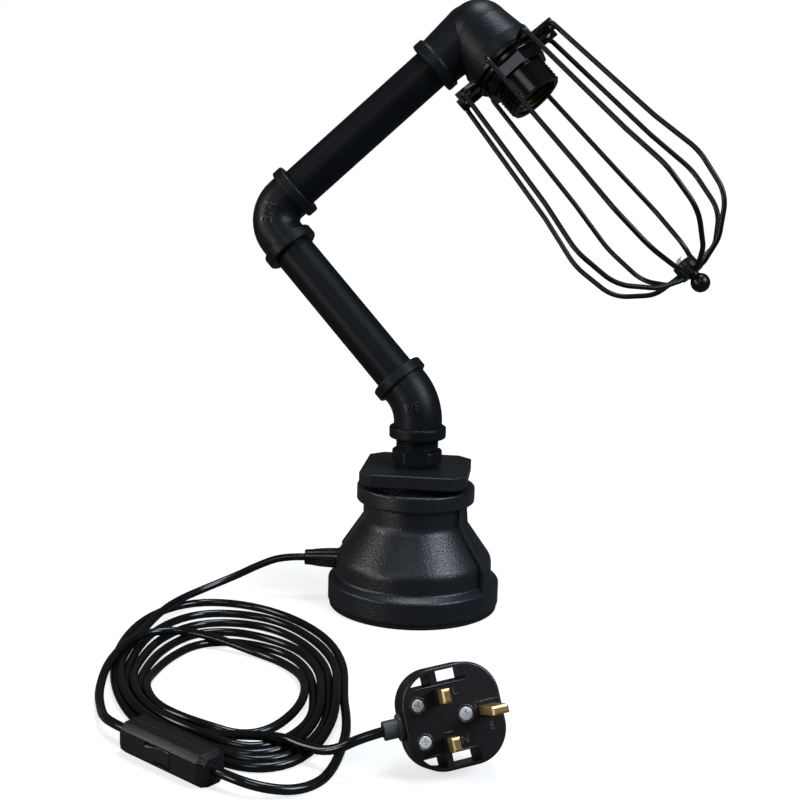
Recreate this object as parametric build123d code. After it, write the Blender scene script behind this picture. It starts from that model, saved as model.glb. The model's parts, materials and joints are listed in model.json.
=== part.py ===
from build123d import *
from math import cos, sin, tan, radians, sqrt, pi
import os

# Table lamp of cast pipe fittings: a round reducing socket as the base, two pipes on three elbows,
# a screw lampholder inside a wire cage, and a flex with a rocker switch and a three-pin plug.
# Millimetres and degrees. +Z is up, the origin is the middle of the base's underside,
# -Y faces the viewer and +X is to the viewer's right.

# ---------------------------------------------------------------- driving dimensions
# fits
thread_gap = 0.05        # radial gap of every screwed or turning joint
seat_gap = 0.3           # gap between bodies that turn past each other
hinge_gap = 0.05         # radial gap of the rocker's pivot
pin_gap = 0.02           # radial gap of small fixed pins
sunk = 0.5               # how far joined shapes of one piece run into each other
past = 1.0               # how far a cut runs past a face
far = 200.0              # half the size of a block that cuts a piece in two

# pipe and thread sizes
pipe_radius = 13.45      # 3/4 inch pipe
pipe_bore = 10.8
pipe_grip = 15.0         # length of pipe screwed into a fitting
socket_spare = 0.5       # socket depth beyond the pipe's end
thread_drop = 0.25       # a nipple's thread is this much smaller than its pipe
outlet_thread = 16.7     # 1 inch thread in the lampholder elbow
neck_thread = 29.9       # 2 inch thread in the top of the base

# reducing socket, the base
pad_thickness = 2.5
pad_inset = 1.0
base_radius = 55.8
base_band_height = 14.5
base_band_proud = 5.1
base_band_slope = 3.0
base_body_radius = base_radius - base_band_proud
base_wall = 6.5
base_thread = base_body_radius - base_wall     # 3 inch thread in the bottom of the base
base_shoulder_z = 32.0
base_neck_radius = 33.8
base_neck_z = 56.0
base_neck_wall = 4.6
base_throat = (4.0, 2.0)  # throat below the neck's thread, below and above the neck's foot
base_rounds = [0.6, 1.6, 1.8, 2.0, 11.0, 9.0, 1.0, 1.4, 1.6, 0.6, 0, 0, 3.0, 3.0]
collar_radius = 38.2
collar_height = 10.5
base_top_z = 80.0
base_thread_depth = 30.0
rib_width = 6.5
rib_turn = -31.0         # first rib, from +X; the second is opposite
rib_proud = 2.6
rib_shoulder = 1.5       # the rib stands prouder below the neck
rib_edge = 0.7           # its foot stays this far inside the band
rib_root = 2.0           # how far it runs into the wall

# reducing bushing
bushing_flats = 68.0
bushing_corner = 8.5
bushing_edge = 1.0
bushing_turn = -5.0
bushing_plate = 8.5
bushing_thread_show = 4.0
bushing_shank = 20.0
bushing_hollow = 21.0
bushing_hollow_roof = 16.0

# hexagon nipple
nipple_hex = 28.5
nipple_hex_height = 9.0
nipple_thread_below = 1.8
nipple_thread_above = 7.5
nipple_bore = 9.0
nipple_crown = 1.13      # radius of the turned crown over half the flats
nipple_crown_edge = 1.6
nipple_grip = 13.0

# elbows
band_radius = 18.3
band_length = 7.5
band_edge = 1.3
band_foot = 0.8
elbow_body = 15.6
elbow_passage = 11.6
reach_45 = 23.0
bend_45 = 32.0
reach_90 = 29.5
bend_90 = 17.5
head_reach_in = 37.5
head_reach_out = 30.0
head_band_radius = 24.8
head_band_length = 9.0
head_band_edge = 1.4
head_band_foot = 0.6
head_body_start = 16.6      # the elbow's body swells from its inlet to its outlet
head_body_middle = 18.6
head_middle_z = -4.0
head_passage_bend = 12.5
head_ball_radius = 21.5
head_ball_shift = 4.0       # the ball's centre, from the elbow's centre towards the outlet
head_body_end = 24.1
outlet_depth = 18.0

# arms
lower_axis_length = 159.0   # elbow centre to elbow centre
upper_axis_length = 181.5
arm_azimuth = 22.0          # lower pipe leans left, turned this much away from the viewer
arm_twist = 16.0            # middle elbow turned on the lower pipe
head_twist = -2.0           # lampholder elbow turned on the upper pipe

# lampholder, measured down from the elbow's mouth
adapter_thickness = 8.0
adapter_recess = 1.0
stud_radius = 5.0
stud_bore = 3.5
stud_above = 7.0
locknut_flats = 14.0
locknut_height = 3.0
spigot_radius = 11.0        # boss of the cap under the adapter
ring_room = 0.65            # from the cage's ring to the cap's flange
holder_neck_radius = 20.6
flange_radius = 24.0
flange_thickness = 3.4
flange_edge = 0.8
grip_flats = 42.6
grip_length = 7.6
grip_wall = 1.9             # the skirt's neck is this much smaller than the skirt
collar_wall = 1.4
collar_gap = 1.2            # from the core's top to the skirt's neck
skirt_radius = 18.7
skirt_length = 17.4
skirt_lip = 2.0
skirt_mouth = 14.6
core_radius = 15.2
core_thickness = 6.0
core_sink = 1.6             # from the grip's top to the core
core_flange = 1.0
core_flange_gap = 0.1
terminal_place = 9.4
terminal_radius = 1.5
terminal_length = 3.8
terminal_head_radius = 2.6
terminal_head_height = 1.3
shell_radius = 13.3         # inside of the screw shell
shell_wall = 0.6
shell_length = 13.0         # threaded part
shell_foot_radius = 11.0    # inside of the shell's foot, round the centre contact
shell_foot = 3.2
contact_radius = 3.6
contact_height = 3.0
contact_edge = 0.8

# earth terminal inside the base
earth_height = 14.0
earth_screw_radius = 2.0
earth_screw_grip = 4.0
tag_clearance = 0.25        # the flat tag's distance from the round wall, at its middle
tag_thickness = 0.8
tag_radius = 4.0
tag_tail = (2.2, 3.4, 11.0)  # half width, and where the crimp starts and ends
earth_head_radius = 3.6
earth_head_height = 2.4

# wire cage
wire_radius = 1.6
cage_turn = 15.0            # first wire, from the side that faces the viewer
wire_count = 8
ring_inner = 21.0
ring_outer = 27.0
ring_thickness = 2.0
cage_profile = [(25.0, 1.4), (38.0, 1.4), (46.4, 92.0), (52.0, 127.0), (46.5, 158.0), (26.0, 174.5)]
cage_bends = [4.0, 70.0, 45.0, 26.0, 20.0, 12.0]
cage_tip_z = 176.0          # middle of the back half's hub plate
wire_end = 6.2
wire_run_in = 2.5           # last corner of a wire, out from the hub's rim
hub_radius = 7.6
hub_thickness = 3.0
hub_gap = 0.25
ear_offset = 6.2            # half the distance between a pair of ears
ear_thickness = 2.0
ear_height = 8.0
ear_reach = 38.5
ear_root = 3.0              # how far the ear laps the ring
clamp_radius = 1.95
clamp_hole_radius = 2.0
clamp_seat = 33.0           # clamp screw's distance from the cage's axis
clamp_head_radius = 3.6
clamp_head_height = 2.6
clamp_head_edge = 1.0
clamp_nut_flats = 7.0
clamp_nut_height = 2.6
clamp_tail = 0.7            # screw end past its nut
knob_radius = 6.0
knob_neck_radius = 3.4
knob_neck_length = 1.6
knob_gap = 0.1
tip_tail = 0.8              # knob's thread past its nut
tip_nut_flats = 8.0
tip_nut_height = 6.0

# flex
flex_radius = 2.4
floor_gap = 0.02
swivel_drop = 2.0           # the inner cable's cut, below the bushing's top and inside the elbows' mouths
elbow_drop = 3.0
root_corner = (-12.0, 26.0)  # inner cable's corners in the base: along X, and above the gland
root_bends = [22.0, 26.0]
arm_bend = 28.0
forearm_bend = 20.0
head_bend = 14.0
lead_seat = 2.0             # flex inside the gland's tip
lead_straight = 14.0        # straight run from the gland
gland_z = 28.0
gland_length = 24.0
gland_wide = 7.0
gland_narrow = 4.9
gland_thread = 5.0
gland_tail = 12.0           # depth of the gland's bore behind its seat
gland_seat = 3.2            # how far the gland's wide end is let into the base
coil_outline = [
    (-33, -160), (-36, -117), (-51, -74), (-79, -39), (-113, -20), (-144, -22), (-166, -51), (-174, -96),
    (-167, -143), (-151, -186), (-131, -217), (-102, -240), (-72, -257), (-48, -245), (-36, -208),
]
hole_centre = (-98.0, -163.0)
hole_semi = (44.0, 56.0)
hole_turn = 14.0
coil_height = 11.0
coil_round = 3.5

# inline switch
switch_centre = (-111.5, -248.5)
switch_turn = -38.5
switch_length = 60.0
switch_depth = 17.0
switch_height = 16.0
switch_wall = 1.8
switch_bevel = 3.0
switch_edge = 0.8
switch_corner_wall = 1.0    # extra wall above and below the room
switch_end_run = 12.0       # straight run of the flex at each end
switch_window_spare = 0.6
switch_post = (3.0, 2.5, 0.1)   # pivot post: half width, depth behind the pivot, gap to the window
switch_screw_place = 23.0
switch_boss_radius = 2.6
switch_screw_hole = 1.25
switch_screw_radius = 1.2
switch_screw_length = 5.5
switch_head_radius = 2.3
switch_head_height = 0.9
rocker_length = 15.6
rocker_height = 8.0
rocker_window_gap = 0.5
rocker_tilt = 8.0
rocker_proud = 5.4
rocker_middle = 3.9
rocker_skirt = (0.6, 3.2, 2.6)  # side wall's foot, and half width and depth of its heel
contact_strip = (13.0, 6.0, 0.8, 3.5)   # place, half length, thickness, half width
contact_post = (9.0, 1.5, 1.5, 0.4, 2.0)    # place, half length, front, sunk, half width
rocker_pivot_depth = 4.2    # pivot's distance behind the switch's front face
pivot_radius = 1.0
pivot_overrun = 2.6         # the pin's ends past the window

# plug
plug_centre = (22.5, -248.0)
plug_yaw = 14.0
plug_roll = 9.0
plug_tilt = 22.0            # leans back on the lower edge of its cover
plug_length = 48.0
plug_width = 48.0
plug_corner = 17.0
plug_base_depth = 9.0
plug_cover_depth = 12.0
plug_cover_edge = 4.0
plug_wall = 2.4
plug_floor = 3.0
plug_face_edge = 1.2
plug_floor_gap = 0.1
pin_spacing = 22.2
earth_offset = 22.2
pin_line_u = -6.0           # line and neutral pins, along the plug from its middle
live_pin = (4.0, 6.35, 17.7)
earth_pin = (8.0, 4.0, 22.7)
pin_root = 5.0
sleeve_length = 9.0
sleeve_skin = 0.35
pin_tip = 0.9
window_inner = 16.2
window_rim = 1.8
window_frame = 1.6
frame_face = 1.2            # the frame stops short of the pin face
frame_back = 2.5            # and of the back
window_spans = [(-19.0, -8.0), (-5.0, 9.0)]
plug_screw_radius = 2.9
plug_screw_shank = 1.6
plug_screw_low = -0.4       # head's underside, from the pin face
plug_screw_proud = 0.5
plug_screw_room = 0.5
grip_screws = [(-16.5, -8.5), (-16.5, 8.5)]
cover_screw = (5.5, 0)
cover_screw_grip = 4.0
cover_screw_extra = 0.3
cover_boss_radius = 3.4
plug_collar_radius = 6.4
plug_collar_length = 1.5
plug_collar_place = 0.3
grommet_radius = 4.6
grommet_length = 9.0
grommet_inside = 3.9        # grommet inside the shell
grommet_gap = 0.1
entry_offset = 1.0          # cord entry's axis behind the joint of base and cover
grip_bar = ((-18.8, -14.2), (-11.0, 11.0), 2.5)
fuse_radius = 3.15
fuse_length = 25.4
fuse_clip = (3.0, 2.0, 0.6)     # from the fuse's end, half width, wall
fuse_tab_top = 0.3
fuse_place = (2.0, 9.4, -9.8)
fuse_tab = ((-7.6, -6.2), (8.8, 10.8))
cord_tail = 8.0             # flex inside the plug

# ---------------------------------------------------------------- worked-out places
up = Vector(0, 0, 1)
pad_top = pad_thickness
plate_z = base_top_z + bushing_thread_show
plate_top = plate_z + bushing_plate
nipple_hex_z = plate_top + nipple_thread_below
elbow_mouth_z = nipple_hex_z + nipple_hex_height + nipple_thread_above
foot_elbow = Vector(0, 0, elbow_mouth_z + reach_45)


def turned(vector, axis, angle):
    """A vector turned about an axis through the origin, by the right-hand rule."""
    return vector.rotate(Axis((0, 0, 0), axis), angle)


lean = radians(45)
azimuth = radians(arm_azimuth)
away = Vector(-cos(azimuth), sin(azimuth), 0)
lower_dir = away * sin(lean) + up * cos(lean)
upper_dir = turned(away * -sin(lean) + up * cos(lean), lower_dir, arm_twist)
head_dir = turned(lower_dir * -1, upper_dir, head_twist)
middle_elbow_centre = foot_elbow + lower_dir * lower_axis_length
head_elbow_centre = middle_elbow_centre + upper_dir * upper_axis_length
mouth = head_elbow_centre + head_dir * head_reach_out

foot_frame = Plane(foot_elbow, x_dir=away, z_dir=up)
middle_frame = Plane(middle_elbow_centre, x_dir=upper_dir, z_dir=lower_dir)
head_frame = Plane(head_elbow_centre, x_dir=head_dir, z_dir=upper_dir)
holder_frame = Plane(mouth, x_dir=head_dir.cross(upper_dir), z_dir=head_dir)
socket_depth = pipe_grip + socket_spare
gland_frame = Plane((gland_seat - base_body_radius, 0, gland_z), x_dir=(0, 1, 0), z_dir=(-1, 0, 0))
gland_tip = base_body_radius - gland_seat + gland_length
earth_frame = Plane((0, base_thread, pad_top + earth_height), x_dir=(1, 0, 0), z_dir=(0, -1, 0))

flange_top = seat_gap / 2 + ring_thickness + ring_room
grip_top = flange_top + flange_thickness
grip_end = grip_top + grip_length
skirt_end = grip_end + skirt_length
core_top = grip_top + core_sink
core_end = core_top + core_thickness
shell_end = core_end + shell_foot + shell_length
hub_back_z = cage_tip_z - hub_thickness / 2
hub_front_z = hub_back_z + hub_thickness + hub_gap


# ---------------------------------------------------------------- shapes
def rod(radius, low, high):
    """A round bar along local Z."""
    return Pos(0, 0, (low + high) / 2) * Cylinder(radius, high - low)


def tube(outer, inner, low, high):
    return rod(outer, low, high) - rod(inner, low - past, high + past)


def rounded_rod(radius, low, high, edge):
    """A round bar whose two rims are rounded."""
    bar = rod(radius, low, high)
    return fillet(bar.edges().filter_by(GeomType.CIRCLE), edge)


def prism(flats, sides, low, high, turn=0.0):
    """A regular prism, measured across its flats."""
    outline = Rot(0, 0, turn) * RegularPolygon(flats / 2, sides, major_radius=False)
    return Pos(0, 0, low) * extrude(outline, high - low)


def block(x_span, y_span, z_span):
    sizes = [high - low for low, high in (x_span, y_span, z_span)]
    middle = [(low + high) / 2 for low, high in (x_span, y_span, z_span)]
    return Pos(*middle) * Box(*sizes)


def lathe(points, rounds):
    """A solid of revolution about Z from a closed outline of (radius, height) corners."""
    outline = FilletPolyline(*[(radius, 0, height) for radius, height in points], radius=rounds, close=True)
    return revolve(make_face(outline), Axis.Z)


def bent_bar(points, bends, radius):
    """A round bar along straight runs joined by arcs."""
    path = FilletPolyline(*points, radius=bends)
    return sweep(Plane(path @ 0, z_dir=path % 0) * Circle(radius), path=path)


def place(frame, shape):
    return frame.location * shape


nodes = {}


def keep(name, shape):
    """Store a node: one solid, or a group of separate solids."""
    nodes[name] = shape


# ---------------------------------------------------------------- base
def make_base():
    bore = base_neck_radius - base_neck_wall
    band_top = pad_top + base_band_height
    throat_low = base_neck_z - base_throat[0]
    throat_top = base_neck_z + base_throat[1]
    outline = [
        (base_thread, pad_top), (base_radius, pad_top), (base_radius, band_top),
        (base_body_radius, band_top + base_band_slope), (base_body_radius, base_shoulder_z),
        (base_neck_radius, base_neck_z), (base_neck_radius, base_top_z - collar_height),
        (collar_radius, base_top_z - collar_height), (collar_radius, base_top_z),
        (neck_thread, base_top_z), (neck_thread, throat_top), (bore, throat_top),
        (bore, throat_low), (base_thread, pad_top + base_thread_depth),
    ]
    body = lathe(outline, base_rounds)
    fin_top = base_top_z - collar_height + sunk
    fin_foot = base_thread + rib_root
    fin_edge = base_radius - rib_edge
    fin_root = bore + rib_root
    fin = Polyline(
        (fin_foot, band_top - past), (fin_edge, band_top - past), (fin_edge, base_shoulder_z),
        (base_neck_radius + rib_proud + rib_shoulder, base_neck_z), (base_neck_radius + rib_proud, fin_top),
        (fin_root, fin_top), (fin_root, base_neck_z), (fin_foot, base_shoulder_z), close=True,
    )
    rib = Rot(90, 0, 0) * extrude(make_face(fin), rib_width / 2, both=True)
    body += Rot(0, 0, rib_turn) * rib
    body += Rot(0, 0, rib_turn + 180) * rib
    gland_hole = rod(gland_thread + thread_gap, -gland_tail, past)
    gland_hole += rod(gland_wide + thread_gap, 0, gland_tail)
    body -= place(gland_frame, gland_hole)
    body -= place(earth_frame, rod(earth_screw_radius + thread_gap, -earth_screw_grip - sunk, past))
    keep("reducing_socket", body)
    keep("base_pad", rod(base_radius - pad_inset, 0, pad_thickness))


def make_bushing():
    plate = Box(bushing_flats, bushing_flats, bushing_plate)
    plate = chamfer(plate.edges().filter_by(Axis.Z), bushing_corner)
    plate = fillet(plate.edges().filter_by(Axis.Z, reverse=True), bushing_edge)
    plate = Rot(0, 0, bushing_turn) * Pos(0, 0, plate_z + bushing_plate / 2) * plate
    low = plate_z - bushing_thread_show - bushing_shank
    shank = rod(neck_thread - thread_gap, low, plate_z + past)
    hollow = rod(bushing_hollow, low - past, plate_top - bushing_hollow_roof)
    bore = rod(pipe_radius - thread_drop + thread_gap, low, plate_top + past)
    keep("reducing_bushing", plate + shank - hollow - bore)


def make_nipple():
    thread = pipe_radius - thread_drop
    low = plate_top - nipple_grip
    high = elbow_mouth_z + pipe_grip
    hexagon = prism(nipple_hex, 6, nipple_hex_z, nipple_hex_z + nipple_hex_height)
    crown_radius = nipple_hex / 2 * nipple_crown
    crown = rounded_rod(crown_radius, nipple_hex_z, nipple_hex_z + nipple_hex_height, nipple_crown_edge)
    keep("hex_nipple", rod(thread, low, high) + (hexagon & crown) - rod(nipple_bore, low - past, high + past))


# ---------------------------------------------------------------- elbows and pipes
def bent_fitting(angle, reach, bend):
    """An elbow of one pipe size: its inlet faces local -Z, its outlet turns towards local +X."""
    turn = radians(angle)
    outlet = Vector(sin(turn), 0, cos(turn))
    points = [(0, 0, -reach), (0, 0, 0), tuple(outlet * reach)]
    inlet_frame = Plane((0, 0, -reach), z_dir=(0, 0, 1))
    outlet_frame = Plane(outlet * reach, z_dir=outlet * -1)
    body = bent_bar(points, bend, elbow_body)
    hollow = bent_bar(points, bend, elbow_passage)
    for frame in (inlet_frame, outlet_frame):
        body += place(frame, rounded_rod(band_radius, 0, band_length, band_edge))
    body -= hollow
    for frame in (inlet_frame, outlet_frame):
        body -= place(frame, rod(pipe_radius + thread_gap, -past, socket_depth))
    return body


def make_head_elbow():
    """The lampholder elbow: its body swells from the pipe's size to the outlet's, with a rounded corner."""
    inlet_frame = Plane((0, 0, -head_reach_in), z_dir=(0, 0, 1))
    outlet_frame = Plane((head_reach_out, 0, 0), z_dir=(-1, 0, 0))
    inlet_length = head_reach_in + head_middle_z
    inlet = lathe(
        [(0, 0), (band_radius, 0), (band_radius, band_length), (head_body_start, band_length),
         (head_body_middle, inlet_length), (0, inlet_length)],
        [0, band_edge, band_edge, band_foot, 0, 0],
    )
    outlet_length = head_reach_out - head_ball_shift
    outlet = lathe(
        [(0, 0), (head_band_radius, 0), (head_band_radius, head_band_length),
         (head_body_end, head_band_length),
         (head_ball_radius, outlet_length), (0, outlet_length)],
        [0, head_band_edge, head_band_foot, 0, 0, 0],
    )
    body = place(inlet_frame, inlet) + Pos(0, 0, head_middle_z) * Sphere(head_body_middle)
    body += Pos(head_ball_shift, 0, 0) * Sphere(head_ball_radius)
    body += place(outlet_frame, outlet)
    points = [(0, 0, -head_reach_in), (0, 0, 0), (head_reach_out, 0, 0)]
    body -= bent_bar(points, head_passage_bend, elbow_passage)
    body -= place(inlet_frame, rod(pipe_radius + thread_gap, -past, socket_depth))
    body -= place(outlet_frame, rod(outlet_thread, -past, outlet_depth))
    return body


def make_arms():
    keep("foot_elbow", place(foot_frame, bent_fitting(45, reach_45, bend_45)))
    keep("middle_elbow", place(middle_frame, bent_fitting(90, reach_90, bend_90)))
    keep("head_elbow", place(head_frame, make_head_elbow()))
    lower_start = foot_elbow + lower_dir * (reach_45 - pipe_grip)
    lower_length = lower_axis_length - reach_45 - reach_90 + 2 * pipe_grip
    lower_pipe = tube(pipe_radius, pipe_bore, 0, lower_length)
    keep("lower_pipe", place(Plane(lower_start, z_dir=lower_dir), lower_pipe))
    upper_start = middle_elbow_centre + upper_dir * (reach_90 - pipe_grip)
    upper_length = upper_axis_length - reach_90 - head_reach_in + 2 * pipe_grip
    upper_pipe = tube(pipe_radius, pipe_bore, 0, upper_length)
    keep("upper_pipe", place(Plane(upper_start, z_dir=upper_dir), upper_pipe))
    print("pipe lengths", round(lower_length, 2), round(upper_length, 2))


# ---------------------------------------------------------------- lampholder
def make_holder():
    adapter_low = -adapter_recess - adapter_thickness
    adapter = rod(outlet_thread - thread_gap, adapter_low, -adapter_recess)
    adapter -= rod(stud_radius + thread_gap, adapter_low - past, 0)
    nut_low = adapter_low - locknut_height
    stud = tube(stud_radius, stud_bore, nut_low - stud_above + locknut_height, grip_top)
    locknut = prism(locknut_flats, 6, nut_low, adapter_low) - rod(stud_radius + thread_gap, nut_low - past, 0)

    grip_inner = skirt_radius - grip_wall
    cap = rod(holder_neck_radius, seat_gap, flange_top + sunk)
    cap += rod(spigot_radius, -adapter_recess, seat_gap + sunk)
    cap += rounded_rod(flange_radius, flange_top, grip_top, flange_edge)
    cap += prism(grip_flats, 8, grip_top - sunk, grip_end, 360 / 16)
    cap -= rod(grip_inner + thread_gap, grip_top, grip_end + past)
    cap -= rod(stud_radius + thread_gap, -adapter_recess - past, grip_top + past)

    skirt = rod(grip_inner, core_top + collar_gap, grip_end + sunk) + rod(skirt_radius, grip_end, skirt_end)
    skirt -= rod(grip_inner - collar_wall, core_top, skirt_end - skirt_lip)
    skirt -= rod(skirt_mouth, skirt_end - skirt_lip - past, skirt_end + past)

    core = rod(core_radius, core_top, core_end)
    core += rod(grip_inner - core_flange_gap, core_top, core_top + core_flange)
    screws = []
    hole_end = core_top + terminal_length + pin_gap
    for side in (-1, 1):
        spot = Pos(side * terminal_place, 0, 0)
        core -= spot * rod(terminal_radius + thread_gap, core_top - past, hole_end)
        head = rod(terminal_head_radius, core_top - terminal_head_height, core_top)
        screws.append(spot * (rod(terminal_radius, core_top, core_top + terminal_length) + head))
    shell = tube(shell_radius + shell_wall, shell_radius, core_end + shell_foot, shell_end)
    shell += tube(shell_radius + shell_wall, shell_foot_radius, core_end, core_end + shell_foot)
    contact = rounded_rod(contact_radius, core_end, core_end + contact_height, contact_edge)

    keep("holder_adapter", place(holder_frame, adapter))
    keep("holder_stud", place(holder_frame, stud))
    keep("holder_locknut", place(holder_frame, locknut))
    keep("holder_cap", place(holder_frame, cap))
    keep("holder_skirt", place(holder_frame, skirt))
    keep("holder_core", place(holder_frame, core))
    keep("holder_terminal_screws", place(holder_frame, Compound(children=screws)))
    keep("holder_screw_shell", place(holder_frame, shell))
    keep("holder_centre_contact", place(holder_frame, contact))


# ---------------------------------------------------------------- wire cage
def cage_wire(angle, hub_z):
    """One wire, from the ring out to the cone, down and round to the tip."""
    middle = hub_z + hub_thickness / 2
    points = [(radius, 0, height) for radius, height in cage_profile]
    points += [(hub_radius + wire_run_in, 0, middle), (wire_end, 0, middle)]
    return Rot(0, 0, angle) * bent_bar(points, cage_bends, wire_radius)


def cage_half(first, split, hub_z):
    """Half a ring, four wires, two ears and a hub plate; split is the middle of this half's arc."""
    step = 360 / wire_count
    ring_low = cage_profile[0][1] - ring_thickness / 2
    ring = tube(ring_outer, ring_inner, ring_low, ring_low + ring_thickness)
    half = Rot(0, 0, split) * (ring & block((ear_offset - ear_thickness / 2, far), (-far, far), (-far, far)))
    for index in range(wire_count // 2):
        half += cage_wire(first + index * step, hub_z)
    middle = ring_low + ring_thickness / 2
    for side in (-1, 1):
        ear = block(
            (ear_offset - ear_thickness / 2, ear_offset + ear_thickness / 2),
            (ring_outer - ear_root, ear_reach),
            (middle - ear_height / 2, middle + ear_height / 2),
        )
        seat = Pos(ear_offset, clamp_seat, middle) * Rot(0, 90, 0)
        hole = seat * Cylinder(clamp_hole_radius, 3 * ear_thickness)
        ear -= hole
        if side < 0:
            ear = mirror(ear, Plane.XZ)
        half += Rot(0, 0, split) * ear
    half += rod(hub_radius, hub_z, hub_z + hub_thickness)
    return half - rod(clamp_hole_radius, hub_z - past, hub_z + hub_thickness + past)


def make_cage():
    step = 360 / wire_count
    half_fan = step * (wire_count // 2 - 1) / 2
    front_middle = cage_turn - step / 2
    back_middle = front_middle + 180
    keep("cage_front", place(holder_frame, cage_half(front_middle - half_fan, front_middle, hub_front_z)))
    keep("cage_back", place(holder_frame, cage_half(back_middle - half_fan, back_middle, hub_back_z)))

    middle = cage_profile[0][1]
    outside = ear_offset + ear_thickness / 2
    screws = []
    nuts = []
    for side in (-1, 1):
        seat = Rot(0, 0, front_middle) * Pos(0, side * clamp_seat, middle) * Rot(0, 90, 0)
        shank = rod(clamp_radius, -outside - clamp_nut_height - clamp_tail, outside + sunk)
        head = rounded_rod(clamp_head_radius, outside, outside + clamp_head_height, clamp_head_edge)
        screws.append(seat * (shank + head))
        nut = prism(clamp_nut_flats, 6, -outside - clamp_nut_height, -outside)
        nuts.append(seat * (nut - rod(clamp_hole_radius, -far, 0)))
    keep("cage_clamp_screws", place(holder_frame, Compound(children=screws)))
    keep("cage_clamp_nuts", place(holder_frame, Compound(children=nuts)))

    nut_low = hub_back_z - tip_nut_height
    tip_nut = prism(tip_nut_flats, 6, nut_low, hub_back_z)
    tip_nut -= rod(clamp_hole_radius, nut_low - past, hub_back_z + past)
    keep("cage_tip_nut", place(holder_frame, tip_nut))
    knob_low = hub_front_z + hub_thickness + knob_gap
    ball_z = knob_low + knob_neck_length + sqrt(knob_radius ** 2 - knob_neck_radius ** 2)
    knob = rod(knob_neck_radius, knob_low, ball_z) + Pos(0, 0, ball_z) * Sphere(knob_radius)
    knob += rod(clamp_radius, nut_low - tip_tail, knob_low + past)
    keep("ball_knob", place(holder_frame, knob))
    tip = mouth + head_dir * (ball_z + knob_radius)
    print("knob end", [round(value, 2) for value in tip])


# ---------------------------------------------------------------- wiring inside the lamp
lead_start = -gland_tip + lead_seat


def make_inner_cable():
    swivel_z = plate_top - swivel_drop
    corner_x, corner_rise = root_corner
    root_points = [
        (lead_start, 0, gland_z), (corner_x, 0, gland_z), (0, 0, gland_z + corner_rise), (0, 0, swivel_z),
    ]
    keep("inner_cable_base", bent_bar(root_points, root_bends, flex_radius))
    lower_joint = foot_elbow + lower_dir * (reach_45 - swivel_drop)
    arm_points = [(0, 0, swivel_z + seat_gap), tuple(foot_elbow), tuple(lower_joint)]
    keep("inner_cable_arm", bent_bar(arm_points, arm_bend, flex_radius))
    upper_joint = head_elbow_centre - upper_dir * (head_reach_in - elbow_drop)
    forearm_points = [lower_joint + lower_dir * seat_gap, middle_elbow_centre, upper_joint]
    forearm_points = [tuple(point) for point in forearm_points]
    keep("inner_cable_forearm", bent_bar(forearm_points, forearm_bend, flex_radius))
    head_points = [upper_joint + upper_dir * seat_gap, head_elbow_centre, mouth + head_dir * core_top]
    keep("inner_cable_head", bent_bar([tuple(point) for point in head_points], head_bend, flex_radius))


def make_gland():
    body = Pos(0, 0, gland_length / 2) * Cone(gland_wide, gland_narrow, gland_length)
    body += rod(gland_thread, gland_seat - base_wall, sunk)
    body -= rod(flex_radius + thread_gap, -gland_tail, gland_length + past)
    keep("cord_gland", place(gland_frame, body))
    # a ring terminal under a screw in the wall of the base
    tag_top = tag_clearance + tag_thickness
    tail_half, tail_start, tail_end = tag_tail
    tag = tube(tag_radius, earth_screw_radius + thread_gap, tag_clearance, tag_top)
    tag += block((-tail_half, tail_half), (tail_start, tail_end), (tag_clearance, tag_top))
    screw = rod(earth_screw_radius, -earth_screw_grip, tag_top + past)
    screw += rounded_rod(earth_head_radius, tag_top, tag_top + earth_head_height, contact_edge)
    keep("earth_tag", place(earth_frame, tag))
    keep("earth_screw", place(earth_frame, screw))


# ---------------------------------------------------------------- flex, switch and plug
switch_frame = Plane((*switch_centre, switch_height / 2), z_dir=(0, 0, 1)).rotated((0, 0, switch_turn))
plug_reach = (
    (plug_length / 2 - plug_corner) * sin(radians(plug_roll))
    + (plug_width / 2 - plug_corner) * cos(radians(plug_roll)) + plug_corner
)
plug_depth = plug_base_depth + plug_cover_depth
plug_height = (
    (plug_reach - plug_cover_edge) * cos(radians(plug_tilt))
    + (plug_depth - plug_cover_edge) * sin(radians(plug_tilt)) + plug_cover_edge + plug_floor_gap
)
plug_side = Vector(cos(radians(plug_yaw)), sin(radians(plug_yaw)), 0)
plug_normal = turned(Vector(sin(radians(plug_yaw)), -cos(radians(plug_yaw)), 0), plug_side, -plug_tilt)
plug_along = turned(plug_side, plug_normal, plug_roll)
plug_frame = Plane((*plug_centre, plug_height), x_dir=plug_along, z_dir=plug_normal)
entry_depth = -plug_base_depth - entry_offset
cord_entry = plug_frame.from_local_coords(Vector(-plug_length / 2, 0, entry_depth))
floor_z = flex_radius + floor_gap
half_switch = switch_length / 2
switch_dir = Vector(cos(radians(switch_turn)), sin(radians(switch_turn)), 0)
switch_middle = Vector(*switch_centre, switch_height / 2)
switch_left = switch_middle - switch_dir * half_switch
switch_right = switch_middle + switch_dir * half_switch

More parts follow.
